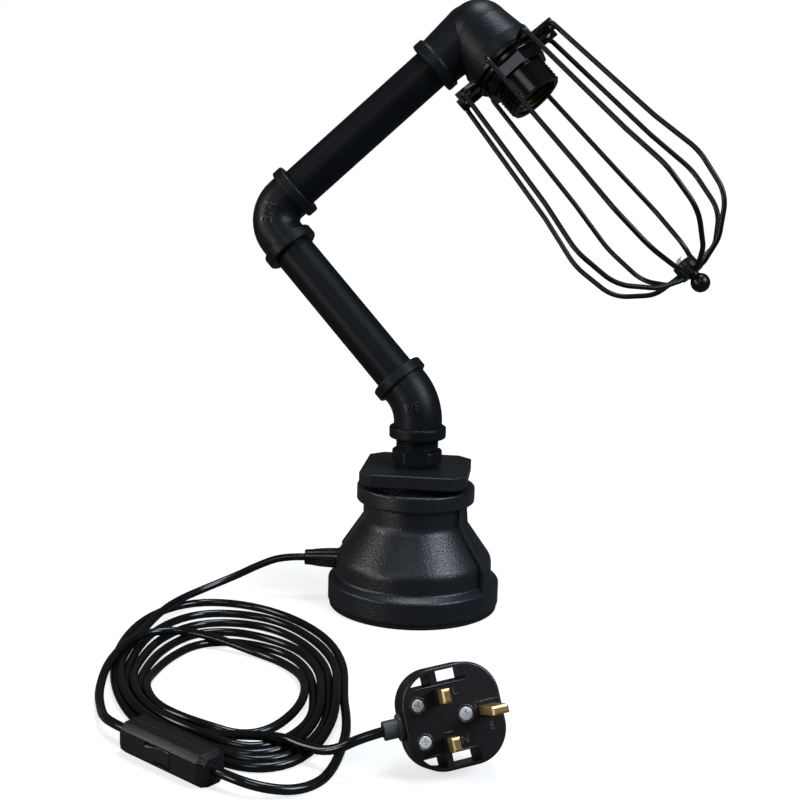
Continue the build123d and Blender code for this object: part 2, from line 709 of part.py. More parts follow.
lead_route = [
    (lead_start, 0, gland_z), (-gland_tip - lead_straight, 0, gland_z), (-101, -3, 22.6),
    (-115, -8, 16.4), (-132, -18, 10.6),
    (-147, -35, 7.8), (-156.5, -55, 6.4),
]
switch_in_route = [
    (-161, -153, 4.0), (-162, -173, floor_z), (-158.5, -194, 3.2), (-152.5, -211, 6.4),
    tuple(switch_left - switch_dir * switch_end_run), tuple(switch_left),
]
switch_out_route = [
    tuple(switch_right), tuple(switch_right + switch_dir * switch_end_run),
    (-64.6, -278.6, 5.8), (-50, -275, 3.0),
    (-39.1, -264.8, floor_z), (-34.1, -249.2, floor_z), (-31.8, -230, floor_z), (-30.4, -210, floor_z),
    (-31.8, -189, floor_z), (-37.5, -169, floor_z),
]
plug_route = [
    (-62, -227.5, 6.8), (-50, -238, 7.0), (-35.5, -248.5, 9.6),
    tuple(cord_entry - plug_along * 2 * grommet_length), tuple(cord_entry),
]


def arc_radii(route, name):
    """The arc at each corner of a route: 0.45 of its shorter run over the tangent of half its turn."""
    points = [Vector(*point) for point in route]
    radii = []
    for before, here, after in zip(points, points[1:], points[2:]):
        first = here - before
        second = after - here
        turn = first.get_angle(second)
        radii.append(0.45 * min(first.length, second.length) / tan(radians(turn) / 2))
    print(name, "radii", [round(radius, 1) for radius in radii])
    return radii


def flex(name, route):
    radii = arc_radii(route, name)
    path = FilletPolyline(*route, radius=radii)
    solid = sweep(Plane(path @ 0, z_dir=path % 0) * Circle(flex_radius), path=path)
    exact = pi * flex_radius ** 2 * path.length
    print(name, "length", round(path.length, 1), "volume ratio", round(solid.volume / exact, 5))
    keep(name, solid)


def make_flex():
    flex("flex_lead", lead_route)
    flex("flex_to_switch", switch_in_route)
    flex("flex_from_switch", switch_out_route)
    flex("flex_to_plug", plug_route)
    points = [(x, y, floor_gap) for x, y in coil_outline]
    loop = points[-1:] + points + points[:1]
    outline = FilletPolyline(*points, radius=arc_radii(loop, "coil"), close=True)
    coil = extrude(make_face(outline), coil_height)
    coil = fillet(coil.edges().filter_by(GeomType.LINE, reverse=True), coil_round)
    hole = Pos(*hole_centre, 0) * Rot(0, 0, hole_turn) * Ellipse(*hole_semi)
    keep("flex_coil", coil - extrude(hole, 2 * coil_height, both=True))


def make_switch():
    half_depth = switch_depth / 2
    half_height = switch_height / 2
    spans = ((-half_switch, half_switch), (-half_depth, half_depth), (-half_height, half_height))
    case = chamfer(block(*spans).edges().filter_by(Axis.X), switch_bevel)
    case = fillet(case.edges().filter_by(Axis.X), switch_edge)
    room = block(
        (-half_switch + switch_wall, half_switch - switch_wall),
        (-half_depth + switch_wall, half_depth - switch_wall),
        (-half_height + switch_wall + switch_corner_wall, half_height - switch_wall - switch_corner_wall),
    )
    case -= room
    front = case & block((-far, far), (-far, 0), (-far, far))
    back = case & block((-far, far), (0, far), (-far, far))
    window_x = rocker_length / 2 + rocker_window_gap + switch_window_spare
    window_z = rocker_height / 2 + rocker_window_gap
    front -= block((-window_x, window_x), (-half_depth - past, 0), (-window_z, window_z))
    pivot_y = -half_depth + rocker_pivot_depth
    pin_half = window_z + pivot_overrun
    post_half, post_depth, post_gap = switch_post
    for side in (-1, 1):
        low, high = sorted((side * (window_z + post_gap), side * (half_height - switch_wall)))
        front += block((-post_half, post_half), (-half_depth + past, pivot_y + post_depth), (low, high))
    pin_line = Pos(0, pivot_y, 0)
    front -= pin_line * rod(pivot_radius + pin_gap, -pin_half, pin_half)
    for side in (-1, 1):
        line = Pos(side * switch_screw_place, 0, 0) * Rot(-90, 0, 0)
        back += line * rod(switch_boss_radius, 0, half_depth - past)
        back -= line * rod(switch_screw_hole, -past, half_depth + past)
        front += line * rod(switch_boss_radius, past - half_depth, 0)
        front -= line * rod(switch_screw_hole, -switch_screw_length - sunk, past)
    keep("switch_front", place(switch_frame, front))
    keep("switch_back", place(switch_frame, back))
    keep("switch_pivot_pin", place(switch_frame, pin_line * rod(pivot_radius, -pin_half, pin_half)))

    half_rocker = rocker_length / 2
    foot, heel_half, heel_depth = rocker_skirt
    outline = Polyline(
        (-half_rocker, -rocker_proud), (0, -rocker_middle), (half_rocker, -rocker_proud),
        (half_rocker, -foot), (heel_half, heel_depth), (-heel_half, heel_depth),
        (-half_rocker, -foot), close=True,
    )
    rocker = extrude(make_face(outline), rocker_height / 2, both=True)
    rocker -= rod(pivot_radius + hinge_gap, -far, far)
    keep("switch_rocker", place(switch_frame, pin_line * (Rot(0, 0, rocker_tilt) * rocker)))

    contacts = []
    for side in (-1, 1):
        middle, half, thickness, half_wide = contact_strip
        inside = half_depth - switch_wall
        along = (side * middle - half, side * middle + half)
        strip = block(along, (inside - thickness, inside), (-half_wide, half_wide))
        middle, half, front_y, lap, half_wide = contact_post
        along = (side * middle - half, side * middle + half)
        post = block(along, (front_y, inside - lap), (-half_wide, half_wide))
        contacts.append(strip + post)
    keep("switch_contacts", place(switch_frame, Compound(children=contacts)))
    screws = []
    for side in (-1, 1):
        line = Pos(side * switch_screw_place, 0, 0) * Rot(-90, 0, 0)
        head = rod(switch_head_radius, half_depth, half_depth + switch_head_height)
        screws.append(line * (rod(switch_screw_radius, -switch_screw_length, half_depth) + head))
    keep("switch_screws", place(switch_frame, Compound(children=screws)))


def plug_outline(inset):
    return RectangleRounded(plug_length - 2 * inset, plug_width - 2 * inset, plug_corner - inset)


def plug_window(side, low, high, grow):
    """The lens between the pin plate and the rim, grown all round: a finger window, or its frame."""
    cover_low = -plug_depth
    lens = Pos(0, 0, cover_low - past) * extrude(plug_outline(window_rim - grow), plug_depth + 2 * past)
    near, outside = sorted((side * (window_inner - grow), side * plug_width))
    return lens & block((low - grow, high + grow), (near, outside), (cover_low - past, past))


def make_plug():
    cover_low = -plug_depth
    base = extrude(plug_outline(0), -plug_base_depth)
    base = fillet(base.faces().sort_by(Axis.Z)[-1].edges(), plug_face_edge)
    base -= Pos(0, 0, -plug_floor) * extrude(plug_outline(plug_wall), -plug_base_depth)
    cover = Pos(0, 0, -plug_base_depth) * extrude(plug_outline(0), -plug_cover_depth)
    cover = fillet(cover.faces().sort_by(Axis.Z)[0].edges(), plug_cover_edge)
    cover -= Pos(0, 0, -plug_base_depth) * extrude(plug_outline(plug_wall), -plug_cover_depth + plug_wall)

    # finger windows go right through, each inside a solid frame that joins the outer wall
    first, last = window_spans[0][0], window_spans[-1][1]
    for side in (-1, 1):
        frame = plug_window(side, first, last, window_frame)
        base += frame & block((-far, far), (-far, far), (-plug_base_depth, -frame_face))
        cover += frame & block((-far, far), (-far, far), (cover_low + frame_back, -plug_base_depth))
        for low, high in window_spans:
            window = plug_window(side, low, high, 0)
            base -= window
            cover -= window

    pins = []
    sleeves = []
    slots = []
    half_u, half_w, length = live_pin[0] / 2, live_pin[1] / 2, live_pin[2]
    for side in (-1, 1):
        spot = Pos(pin_line_u, side * pin_spacing / 2, 0)
        tip = block((-half_u, half_u), (-half_w, half_w), (sleeve_length, length))
        tip = chamfer(tip.faces().sort_by(Axis.Z)[-1].edges(), pin_tip)
        narrow_u, narrow_w = half_u - sleeve_skin, half_w - sleeve_skin
        neck = block((-narrow_u, narrow_u), (-narrow_w, narrow_w), (-pin_root, sleeve_length))
        sleeve = block((-half_u, half_u), (-half_w, half_w), (0, sleeve_length))
        pins.append(spot * (tip + neck))
        sleeves.append(spot * (sleeve - neck))
        slots.append(spot * neck)
    half_u, half_w, length = earth_pin[0] / 2, earth_pin[1] / 2, earth_pin[2]
    earth = block((-half_u, half_u), (-half_w, half_w), (-pin_root, length))
    earth = Pos(pin_line_u + earth_offset, 0, 0) * chamfer(earth.faces().sort_by(Axis.Z)[-1].edges(), pin_tip)
    slots.append(earth)

    screws = []
    for spot in grip_screws:
        shank = rod(plug_screw_shank, -plug_base_depth - sunk, plug_screw_low)
        screws.append(Pos(*spot, 0) * (shank + rod(plug_screw_radius, plug_screw_low, plug_screw_proud)))
    shank = rod(plug_screw_shank, -plug_base_depth - cover_screw_grip, plug_screw_low)
    head = rod(plug_screw_radius + cover_screw_extra, plug_screw_low, plug_screw_proud)
    screws.append(Pos(*cover_screw, 0) * (shank + head))
    for spot in grip_screws + [cover_screw]:
        base -= Pos(*spot, 0) * rod(plug_screw_radius + plug_screw_room, plug_screw_low, past)
        base -= Pos(*spot, 0) * rod(plug_screw_shank + thread_gap, -plug_depth, 0)
    cover += Pos(*cover_screw, 0) * rod(cover_boss_radius, cover_low + past, -plug_base_depth)
    hole_end = -plug_base_depth - cover_screw_grip - past
    cover -= Pos(*cover_screw, 0) * rod(plug_screw_shank + thread_gap, hole_end, 0)
    for slot in slots:
        base -= slot

    # cord entry: a grommet with a collar, and a bar that pinches the flex under the two grip screws
    entry = Plane((-plug_length / 2, 0, entry_depth), x_dir=(0, 1, 0), z_dir=(-1, 0, 0))
    grommet = tube(grommet_radius, flex_radius + thread_gap, -grommet_inside, grommet_length)
    collar_end = plug_collar_place + plug_collar_length
    grommet += tube(plug_collar_radius, flex_radius + thread_gap, plug_collar_place, collar_end)
    hole = place(entry, rod(grommet_radius + grommet_gap, -grommet_inside - sunk, past))
    base -= hole
    cover -= hole
    bar_u, bar_w, bar_thickness = grip_bar
    bar_low = entry_depth + flex_radius + grommet_gap
    clamp_bar = block(bar_u, bar_w, (bar_low, bar_low + bar_thickness))
    for spot in grip_screws:
        clamp_bar -= Pos(*spot, 0) * rod(plug_screw_shank + thread_gap, -far, 0)
    fuse_line = Pos(*fuse_place) * Rot(0, 90, 0)
    fuse = fuse_line * rod(fuse_radius, -fuse_length / 2, fuse_length / 2)
    clips = []
    clip_inset, clip_half, clip_wall = fuse_clip
    for offset in (clip_inset - fuse_length / 2, fuse_length / 2 - clip_inset):
        clip = tube(fuse_radius + clip_wall, fuse_radius + pin_gap, -clip_half, clip_half)
        clips.append(fuse_line * Pos(0, 0, offset) * clip)
    # the first clip reaches up to the live pin's root
    clips[0] = clips[0] + block(*fuse_tab, (fuse_place[2] + fuse_radius + fuse_tab_top, -pin_root))

    keep("plug_base", place(plug_frame, base))
    keep("plug_cover", place(plug_frame, cover))
    keep("plug_live_pins", place(plug_frame, Compound(children=pins)))
    keep("plug_pin_sleeves", place(plug_frame, Compound(children=sleeves)))
    keep("plug_earth_pin", place(plug_frame, earth))
    keep("plug_screws", place(plug_frame, Compound(children=screws)))
    keep("plug_grommet", place(plug_frame, place(entry, grommet)))
    keep("plug_clamp_bar", place(plug_frame, clamp_bar))
    keep("plug_flex_end", place(plug_frame, place(entry, rod(flex_radius, -cord_tail, 0))))
    keep("plug_fuse", place(plug_frame, fuse))
    keep("plug_fuse_clips", place(plug_frame, Compound(children=clips)))


make_base()
make_bushing()
make_nipple()
make_arms()
make_holder()
make_cage()
make_inner_cable()
make_gland()
make_flex()
make_switch()
make_plug()

os.makedirs("parts", exist_ok=True)
print("plug", [round(value, 2) for value in (*plug_frame.origin, *cord_entry, *plug_along, *plug_normal)])
for name, shape in nodes.items():
    export_step(shape, f"parts/{name}.step")
print(len(nodes), "nodes")
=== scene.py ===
import json
import math

import bmesh
import bpy
from mathutils import Matrix, Vector
from mathutils.bvhtree import BVHTree


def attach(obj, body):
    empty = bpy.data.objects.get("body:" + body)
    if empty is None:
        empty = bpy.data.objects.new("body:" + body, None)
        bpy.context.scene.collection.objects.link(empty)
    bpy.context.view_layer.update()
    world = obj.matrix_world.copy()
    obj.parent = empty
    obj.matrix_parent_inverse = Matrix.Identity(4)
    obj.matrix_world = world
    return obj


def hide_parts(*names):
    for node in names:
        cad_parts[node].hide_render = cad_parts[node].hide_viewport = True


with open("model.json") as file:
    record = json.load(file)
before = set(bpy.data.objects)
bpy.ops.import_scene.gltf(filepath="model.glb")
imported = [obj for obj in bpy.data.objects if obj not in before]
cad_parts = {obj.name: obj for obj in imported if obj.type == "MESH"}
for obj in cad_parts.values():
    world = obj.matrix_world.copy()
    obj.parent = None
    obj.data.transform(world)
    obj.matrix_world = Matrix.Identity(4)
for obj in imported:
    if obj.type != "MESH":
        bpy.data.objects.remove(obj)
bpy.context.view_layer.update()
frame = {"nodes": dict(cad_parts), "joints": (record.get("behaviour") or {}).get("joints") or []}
nodes = frame["nodes"]
joints = {joint["name"]: joint for joint in frame["joints"]}
scene = bpy.context.scene
print("frame loaded:", len(nodes), "nodes")


# small tools: lengths in mm, places as matrices, meshes from points

def mm(*values):
    return Vector(values) / 1000


def shifted(*values):
    return Matrix.Translation(mm(*values))


def turned(degrees, axis="Z"):
    return Matrix.Rotation(math.radians(degrees), 4, axis)


def placeAt(place, zAxis, xHint):
    # a frame at a point, its Z along zAxis and its X as near to xHint as that allows
    z = Vector(zAxis).normalized()
    x = Vector(xHint)
    x = (x - z * z.dot(x)).normalized()
    matrix = Matrix((x, z.cross(x), z)).transposed().to_4x4()
    matrix.translation = Vector(place)
    return matrix


def meshFrom(verts, faces, matrix=None):
    mesh = bpy.data.meshes.new("mesh")
    mesh.from_pydata([tuple(v) for v in verts], [], faces)
    bm = bmesh.new()
    bm.from_mesh(mesh)
    bmesh.ops.remove_doubles(bm, verts=bm.verts, dist=1e-7)
    bmesh.ops.recalc_face_normals(bm, faces=bm.faces)
    bm.to_mesh(mesh)
    bm.free()
    if matrix is not None:
        mesh.transform(matrix)
    return mesh


def spun(profile, steps, matrix, shape=None):
    # a closed (radius, height) outline spun about local Z; shape(angle, row) adds to the radius
    verts, faces = [], []
    count = len(profile)
    for step in range(steps):
        angle = 2 * math.pi * step / steps
        for row, (radius, height) in enumerate(profile):
            full = radius + (shape(angle, row) if shape else 0)
            verts.append(mm(full * math.cos(angle), full * math.sin(angle), height))
    for step in range(steps):
        start, following = step * count, (step + 1) % steps * count
        for row in range(count):
            above = (row + 1) % count
            faces.append((start + row, following + row, following + above, start + above))
    return meshFrom(verts, faces, matrix)


def lofted(rings, gaps=()):
    # points and faces of closed rings joined in order and capped; gaps: each (ring, side) left open
    count = len(rings[0])
    verts = [spot for ring in rings for spot in ring]
    faces = []
    for step in range(len(rings) - 1):
        for side in range(count):
            if (step, side) not in gaps:
                a, b = step * count + side, step * count + (side + 1) % count
                faces.append((a, b, b + count, a + count))
    faces += [tuple(range(count)), tuple(range(len(verts) - count, len(verts)))]
    return verts, faces


def joinMeshes(meshes):
    bm = bmesh.new()
    for mesh in meshes:
        bm.from_mesh(mesh)
    joined = bpy.data.meshes.new("joined")
    bm.to_mesh(joined)
    bm.free()
    return joined


def placedCopy(mesh, matrix):
    copy = mesh.copy()
    copy.transform(matrix)
    return copy


def meshOf(data, dress=None):
    # the mesh of a curve, of letters, or of a mesh that dress(holder) gives a modifier
    holder = bpy.data.objects.new("holder", data)
    scene.collection.objects.link(holder)
    if dress:
        dress(holder)
    result = holder.evaluated_get(bpy.context.evaluated_depsgraph_get())
    mesh = bpy.data.meshes.new_from_object(result)
    bpy.data.objects.remove(holder)
    return mesh


def bevelled(mesh, width):
    def dress(holder):
        bevel = holder.modifiers.new("edges", "BEVEL")
        bevel.width, bevel.segments = width / 1000, 3
        bevel.limit_method, bevel.angle_limit = "ANGLE", 0.5

    return meshOf(mesh, dress)


def roundCurve(name, kind, route, radius, smoothness):
    curve = bpy.data.curves.new(name, "CURVE")
    curve.dimensions = "3D"
    curve.bevel_depth = radius / 1000
    curve.bevel_resolution = smoothness
    curve.use_fill_caps = True
    spline = curve.splines.new(kind)
    spline.points.add(len(route) - 1)
    for point, place in zip(spline.points, route):
        point.co = (*mm(*place), 1)
    return curve


def addPiece(name, mesh, body, finish, sharp, stands=()):
    # sharp: the angle over which an edge stays crisp; stands: the nodes that the piece replaces
    mesh.name = name
    piece = bpy.data.objects.new(name, mesh)
    scene.collection.objects.link(piece)
    mesh.materials.clear()
    mesh.materials.append(finishes[finish])
    mesh.polygons.foreach_set("use_smooth", [True] * len(mesh.polygons))
    if sharp:
        mesh.set_sharp_from_angle(angle=math.radians(sharp))
    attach(piece, body)
    if stands:
        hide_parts(*stands)
    return piece


# node trees

def nodeGroup(name, kind, inputs, outputs):
    tree = bpy.data.node_groups.new(name, kind)
    for label, socketKind, value in inputs:
        socket = tree.interface.new_socket(
            name=label, in_out="INPUT", socket_type="NodeSocket" + socketKind)
        if value is not None:
            socket.default_value = value
    for label, socketKind in outputs:
        tree.interface.new_socket(
            name=label, in_out="OUTPUT", socket_type="NodeSocket" + socketKind)
    return tree, tree.nodes.new("NodeGroupInput"), tree.nodes.new("NodeGroupOutput")


def setInputs(node, values):
    for label, value in values.items():
        node.inputs[label].default_value = value
    return node


def newNode(tree, kind, values=None, **settings):
    node = tree.nodes.new(kind)
    for setting, value in settings.items():
        setattr(node, setting, value)
    return setInputs(node, values or {})


def link(tree, *pairs):
    for source, target in pairs:
        tree.links.new(source, target)


def mathNode(tree, operation, *values):
    node = newNode(tree, "ShaderNodeMath", operation=operation)
    for socket, value in zip(node.inputs, values):
        if isinstance(value, (int, float)):
            socket.default_value = value
        else:
            tree.links.new(value, socket)
    return node.outputs[0]


def noiseNode(tree, detail, rough=0.5):
    return newNode(tree, "ShaderNodeTexNoise", {"Detail": detail, "Roughness": rough})


def rangeNode(tree, low, high, toLow, toHigh):
    return newNode(tree, "ShaderNodeMapRange", {
        "From Min": low, "From Max": high, "To Min": toLow, "To Max": toHigh})


# shader groups

def buildPaintSkin():
    # paint: broad orange peel, fine grain, faint patches of tone and gloss
    tree, given, out = nodeGroup("paintSkin", "ShaderNodeTree", [
        ("Vector", "Vector", (0, 0, 0)), ("Tone", "Color", (0, 0, 0, 1)),
        ("Patch Tone", "Color", (0, 0, 0, 1)), ("Patch Scale", "Float", 38),
        ("Peel Scale", "Float", 300), ("Peel Depth", "Float", 0.0002),
        ("Grain Scale", "Float", 1500), ("Grain Share", "Float", 0.3),
        ("Gloss Low", "Float", 0.3), ("Gloss High", "Float", 0.45),
    ], [("Color", "Color"), ("Roughness", "Float"), ("Normal", "Vector")])
    peel, grain, patch = noiseNode(tree, 2.0, 0.45), noiseNode(tree, 2.0), noiseNode(tree, 3.0)
    fineGrain = mathNode(tree, "MULTIPLY", grain.outputs["Fac"], given.outputs["Grain Share"])
    relief = mathNode(tree, "ADD", peel.outputs["Fac"], fineGrain)
    bump = newNode(tree, "ShaderNodeBump")
    spread = rangeNode(tree, 0.35, 0.68, 0, 1)
    tone = newNode(tree, "ShaderNodeMix", data_type="RGBA")
    gloss = newNode(tree, "ShaderNodeMix")
    for noise, scale in ((peel, "Peel Scale"), (grain, "Grain Scale"), (patch, "Patch Scale")):
        link(tree, (given.outputs["Vector"], noise.inputs["Vector"]),
             (given.outputs[scale], noise.inputs["Scale"]))
    link(tree, (relief, bump.inputs["Height"]),
         (given.outputs["Peel Depth"], bump.inputs["Distance"]),
         (bump.outputs["Normal"], out.inputs["Normal"]),
         (patch.outputs["Fac"], spread.inputs["Value"]),
         (spread.outputs["Result"], tone.inputs["Factor"]),
         (given.outputs["Tone"], tone.inputs["A"]),
         (given.outputs["Patch Tone"], tone.inputs["B"]),
         (tone.outputs["Result"], out.inputs["Color"]),
         (peel.outputs["Fac"], gloss.inputs["Factor"]),
         (given.outputs["Gloss Low"], gloss.inputs["A"]),
         (given.outputs["Gloss High"], gloss.inputs["B"]),
         (gloss.outputs["Result"], out.inputs["Roughness"]))
    return tree


def buildFineScuffs():
    # long thin scuffs that lighten the tone and dull the gloss
    tree, given, out = nodeGroup("fineScuffs", "ShaderNodeTree", [
        ("Vector", "Vector", (0, 0, 0)), ("Scale", "Float", 200), ("Amount", "Float", 0.3),
    ], [("Mask", "Float")])
    stretch = newNode(tree, "ShaderNodeMapping", {"Rotation": (0.6, 0.3, 0.9), "Scale": (1, 14, 1)})
    lines = noiseNode(tree, 4.0, 0.6)
    edge = rangeNode(tree, 0.6, 0.72, 0, 1)
    link(tree, (given.outputs["Vector"], stretch.inputs["Vector"]),
         (stretch.outputs["Vector"], lines.inputs["Vector"]),
         (given.outputs["Scale"], lines.inputs["Scale"]),
         (lines.outputs["Fac"], edge.inputs["Value"]),
         (mathNode(tree, "MULTIPLY", edge.outputs["Result"], given.outputs["Amount"]),
          out.inputs["Mask"]))
    return tree


paintSkin = buildPaintSkin()
fineScuffs = buildFineScuffs()


# finishes

def finishOf(name, tones, peel, grain, gloss, scuffs=0.0, metal=0.0, specular=0.5,
             scuffTone=(0.035, 0.037, 0.040)):
    # tones: main and patch; peel: scale and depth; grain: scale and share; gloss: low and high
    material = bpy.data.materials.new(name)
    material.use_nodes = True
    tree = material.node_tree
    shader = setInputs(tree.nodes["Principled BSDF"], {
        "Metallic": metal, "Specular IOR Level": specular})
    vector = newNode(tree, "ShaderNodeTexCoord").outputs["Object"]
    skin = newNode(tree, "ShaderNodeGroup", {
        "Tone": (*tones[0], 1), "Patch Tone": (*tones[1], 1),
        "Peel Scale": peel[0], "Peel Depth": peel[1],
        "Grain Scale": grain[0], "Grain Share": grain[1],
        "Gloss Low": gloss[0], "Gloss High": gloss[1]}, node_tree=paintSkin)
    scuff = newNode(tree, "ShaderNodeGroup", {"Amount": scuffs}, node_tree=fineScuffs)
    mixed = newNode(tree, "ShaderNodeMix", {"B": (*scuffTone, 1)}, data_type="RGBA")
    mask = scuff.outputs["Mask"]
    duller = mathNode(tree, "MULTIPLY_ADD", mask, 0.25, skin.outputs["Roughness"])
    link(tree, (vector, skin.inputs["Vector"]), (vector, scuff.inputs["Vector"]),
         (mask, mixed.inputs["Factor"]), (skin.outputs["Color"], mixed.inputs["A"]),
         (mixed.outputs["Result"], shader.inputs["Base Color"]),
         (duller, shader.inputs["Roughness"]),
         (skin.outputs["Normal"], shader.inputs["Normal"]))
    return material


finishes = {
    "casting": finishOf(
        "blackCasting", ((0.0036, 0.0049, 0.0066), (0.0054, 0.0070, 0.0092)),
        (700, 0.00016), (1500, 0.12), (0.34, 0.48), scuffs=0.08, specular=0.25),
    "baseCasting": finishOf(
        "baseCasting", ((0.0060, 0.0076, 0.0103), (0.0084, 0.0102, 0.0134)),
        (820, 0.00024), (1700, 0.20), (0.30, 0.44), scuffs=0.06, specular=0.60),
    # a lighter casting tone that paints a highlight on the raised size marks and on the ribs' edge
    # beads
    "castHighlight": finishOf(
        "paintedHighlightCasting", ((0.020, 0.022, 0.026), (0.028, 0.031, 0.036)),
        (700, 0.00003), (1500, 0.12), (0.24, 0.36), specular=0.60),
    "pipe": finishOf(
        "blackPipe", ((0.0023, 0.0034, 0.0048), (0.0034, 0.0047, 0.0064)),
        (420, 0.000012), (1300, 0.15), (0.40, 0.50), scuffs=0.06, specular=0.18),
    "wire": finishOf(
        "cageWire", ((0.0026, 0.0026, 0.0028), (0.0040, 0.0040, 0.0042)),
        (420, 0.000010), (1300, 0.15), (0.24, 0.34), scuffs=0.04, specular=0.34),
    "nickel": finishOf(
        "nickelPlate", ((0.90, 0.90, 0.90), (0.76, 0.76, 0.77)),
        (500, 0.000008), (1400, 0.20), (0.22, 0.34), scuffs=0.08, metal=0.25,
        scuffTone=(0.60, 0.60, 0.60)),
    "brass": finishOf(
        "brassPin", ((0.66, 0.46, 0.20), (0.52, 0.34, 0.13)),
        (420, 0.00001), (1400, 0.30), (0.24, 0.38), scuffs=0.25, metal=0.80,
        scuffTone=(0.36, 0.24, 0.10)),
    # brass darkened far below its own tone: partly tarnish, mostly painted shade on the shell and
    # contacts inside the holder and switch
    "brassInShade": finishOf(
        "shadedBrass", ((0.110, 0.078, 0.038), (0.075, 0.052, 0.026)),
        (420, 0.00001), (1400, 0.30), (0.40, 0.55), metal=1.0),
    "holder": finishOf(
        "lampholderPlastic", ((0.0022, 0.0022, 0.0025), (0.0036, 0.0036, 0.0040)),
        (500, 0.00001), (1500, 0.20), (0.13, 0.21), scuffs=0.05, specular=0.36),
    "ceramic": finishOf(
        "whiteCeramic", ((0.72, 0.70, 0.64), (0.66, 0.63, 0.56)),
        (400, 0.00003), (1500, 0.30), (0.35, 0.50)),
    "flex": finishOf(
        "flexSheath", ((0.0040, 0.0043, 0.0043), (0.0058, 0.0062, 0.0062)),
        (320, 0.000012), (1200, 0.10), (0.15, 0.22), scuffs=0.04, specular=0.52),
    "switch": finishOf(
        "switchShell", ((0.0078, 0.0078, 0.0084), (0.0100, 0.0100, 0.0106)),
        (900, 0.00005), (1700, 0.60), (0.32, 0.46), scuffs=0.05, specular=0.40),
    "rocker": finishOf(
        "rockerKey", ((0.0090, 0.0090, 0.0096), (0.0120, 0.0120, 0.0126)),
        (500, 0.00001), (1500, 0.20), (0.10, 0.16), specular=0.95),
    "plug": finishOf(
        "plugShell", ((0.0058, 0.0058, 0.0064), (0.0078, 0.0078, 0.0084)),
        (800, 0.00002), (1600, 0.40), (0.26, 0.38), scuffs=0.05, specular=0.50),
    # a lighter tone on the plug's ribs and screw lips: a painted highlight along them
    "plugRibHighlight": finishOf(
        "plugRibHighlight", ((0.020, 0.020, 0.022), (0.028, 0.028, 0.030)),
        (800, 0.00002), (1600, 0.40), (0.22, 0.32), scuffs=0.05, specular=0.60),
    # light grey pin letters: a painted highlight on the raised letters
    "letters": finishOf(
        "highlightLetters", ((0.130, 0.130, 0.134), (0.080, 0.080, 0.083)),
        (800, 0.00002), (1600, 0.40), (0.30, 0.42), scuffs=0.10, specular=0.50),
    "sleeve": finishOf(
        "pinSleeve", ((0.0075, 0.0075, 0.0075), (0.0100, 0.0100, 0.0100)),
        (500, 0.00001), (1500, 0.30), (0.30, 0.40)),
    "grommet": finishOf(
        "greyGrommet", ((0.060, 0.060, 0.063), (0.080, 0.080, 0.084)),
        (500, 0.00003), (1500, 0.40), (0.42, 0.55)),
    "rubber": finishOf(
        "padRubber", ((0.007, 0.007, 0.007), (0.011, 0.011, 0.011)),
        (500, 0.00008), (1500, 0.50), (0.60, 0.80), specular=0.3),
}
nodeFinish = {
    "baseCasting": ["reducing_socket", "reducing_bushing"],
    "casting": ["hex_nipple", "foot_elbow", "middle_elbow", "head_elbow"],
    "pipe": ["lower_pipe", "upper_pipe", "holder_adapter"],
    "wire": ["cage_front", "cage_back", "ball_knob", "cage_clamp_nuts"],
    "nickel": ["cage_clamp_screws", "cage_tip_nut", "holder_stud", "holder_locknut",
               "holder_terminal_screws", "earth_tag", "earth_screw", "switch_screws",
               "switch_pivot_pin", "plug_screws", "plug_fuse_clips"],
    "brass": ["plug_live_pins", "plug_earth_pin"],
    # the shell and contacts get the brass darkened as painted shade
    "brassInShade": ["holder_screw_shell", "holder_centre_contact", "switch_contacts"],
    "holder": ["holder_cap", "holder_skirt"],
    "ceramic": ["holder_core", "plug_fuse"],
    "flex": ["inner_cable_base", "inner_cable_arm", "inner_cable_forearm", "inner_cable_head",
             "plug_flex_end", "cord_gland", "flex_lead", "flex_coil", "flex_to_switch",
             "flex_from_switch", "flex_to_plug"],
    "switch": ["switch_front", "switch_back"],
    "rocker": ["switch_rocker"],
    "plug": ["plug_base", "plug_cover", "plug_clamp_bar"],
    "sleeve": ["plug_pin_sleeves"],
    "grommet": ["plug_grommet"],
    "rubber": ["base_pad"],
}
for finish, names in nodeFinish.items():
    for name in names:
        mesh = nodes[name].data
        mesh.materials.clear()
        mesh.materials.append(finishes[finish])
print("finishes made:", len(finishes))


# camera, floor and light

viewpoint = {"place": (0.003, -0.830, 0.287), "yaw": -1.03, "pitch": 10.4, "roll": 1.6,
             "lens": 59.2, "sensor": 36, "pixels": 800}


def makeCamera():
    yaw, pitch, roll = (math.radians(viewpoint[key]) for key in ("yaw", "pitch", "roll"))
    level = math.cos(pitch)
    forward = Vector((math.sin(yaw) * level, math.cos(yaw) * level, -math.sin(pitch)))
    right = forward.cross(Vector((0, 0, 1))).normalized()
    above = right.cross(forward)
    xAxis = right * math.cos(roll) + above * math.sin(roll)
    yAxis = above * math.cos(roll) - right * math.sin(roll)
    data = bpy.data.cameras.new("camera")
    data.lens = viewpoint["lens"]
    data.sensor_width = viewpoint["sensor"]
    data.clip_start = 0.02
    camera = bpy.data.objects.new("camera", data)
    scene.collection.objects.link(camera)
    matrix = Matrix((xAxis, yAxis, -forward)).transposed().to_4x4()
    matrix.translation = Vector(viewpoint["place"])
    camera.matrix_world = matrix
    scene.camera = camera


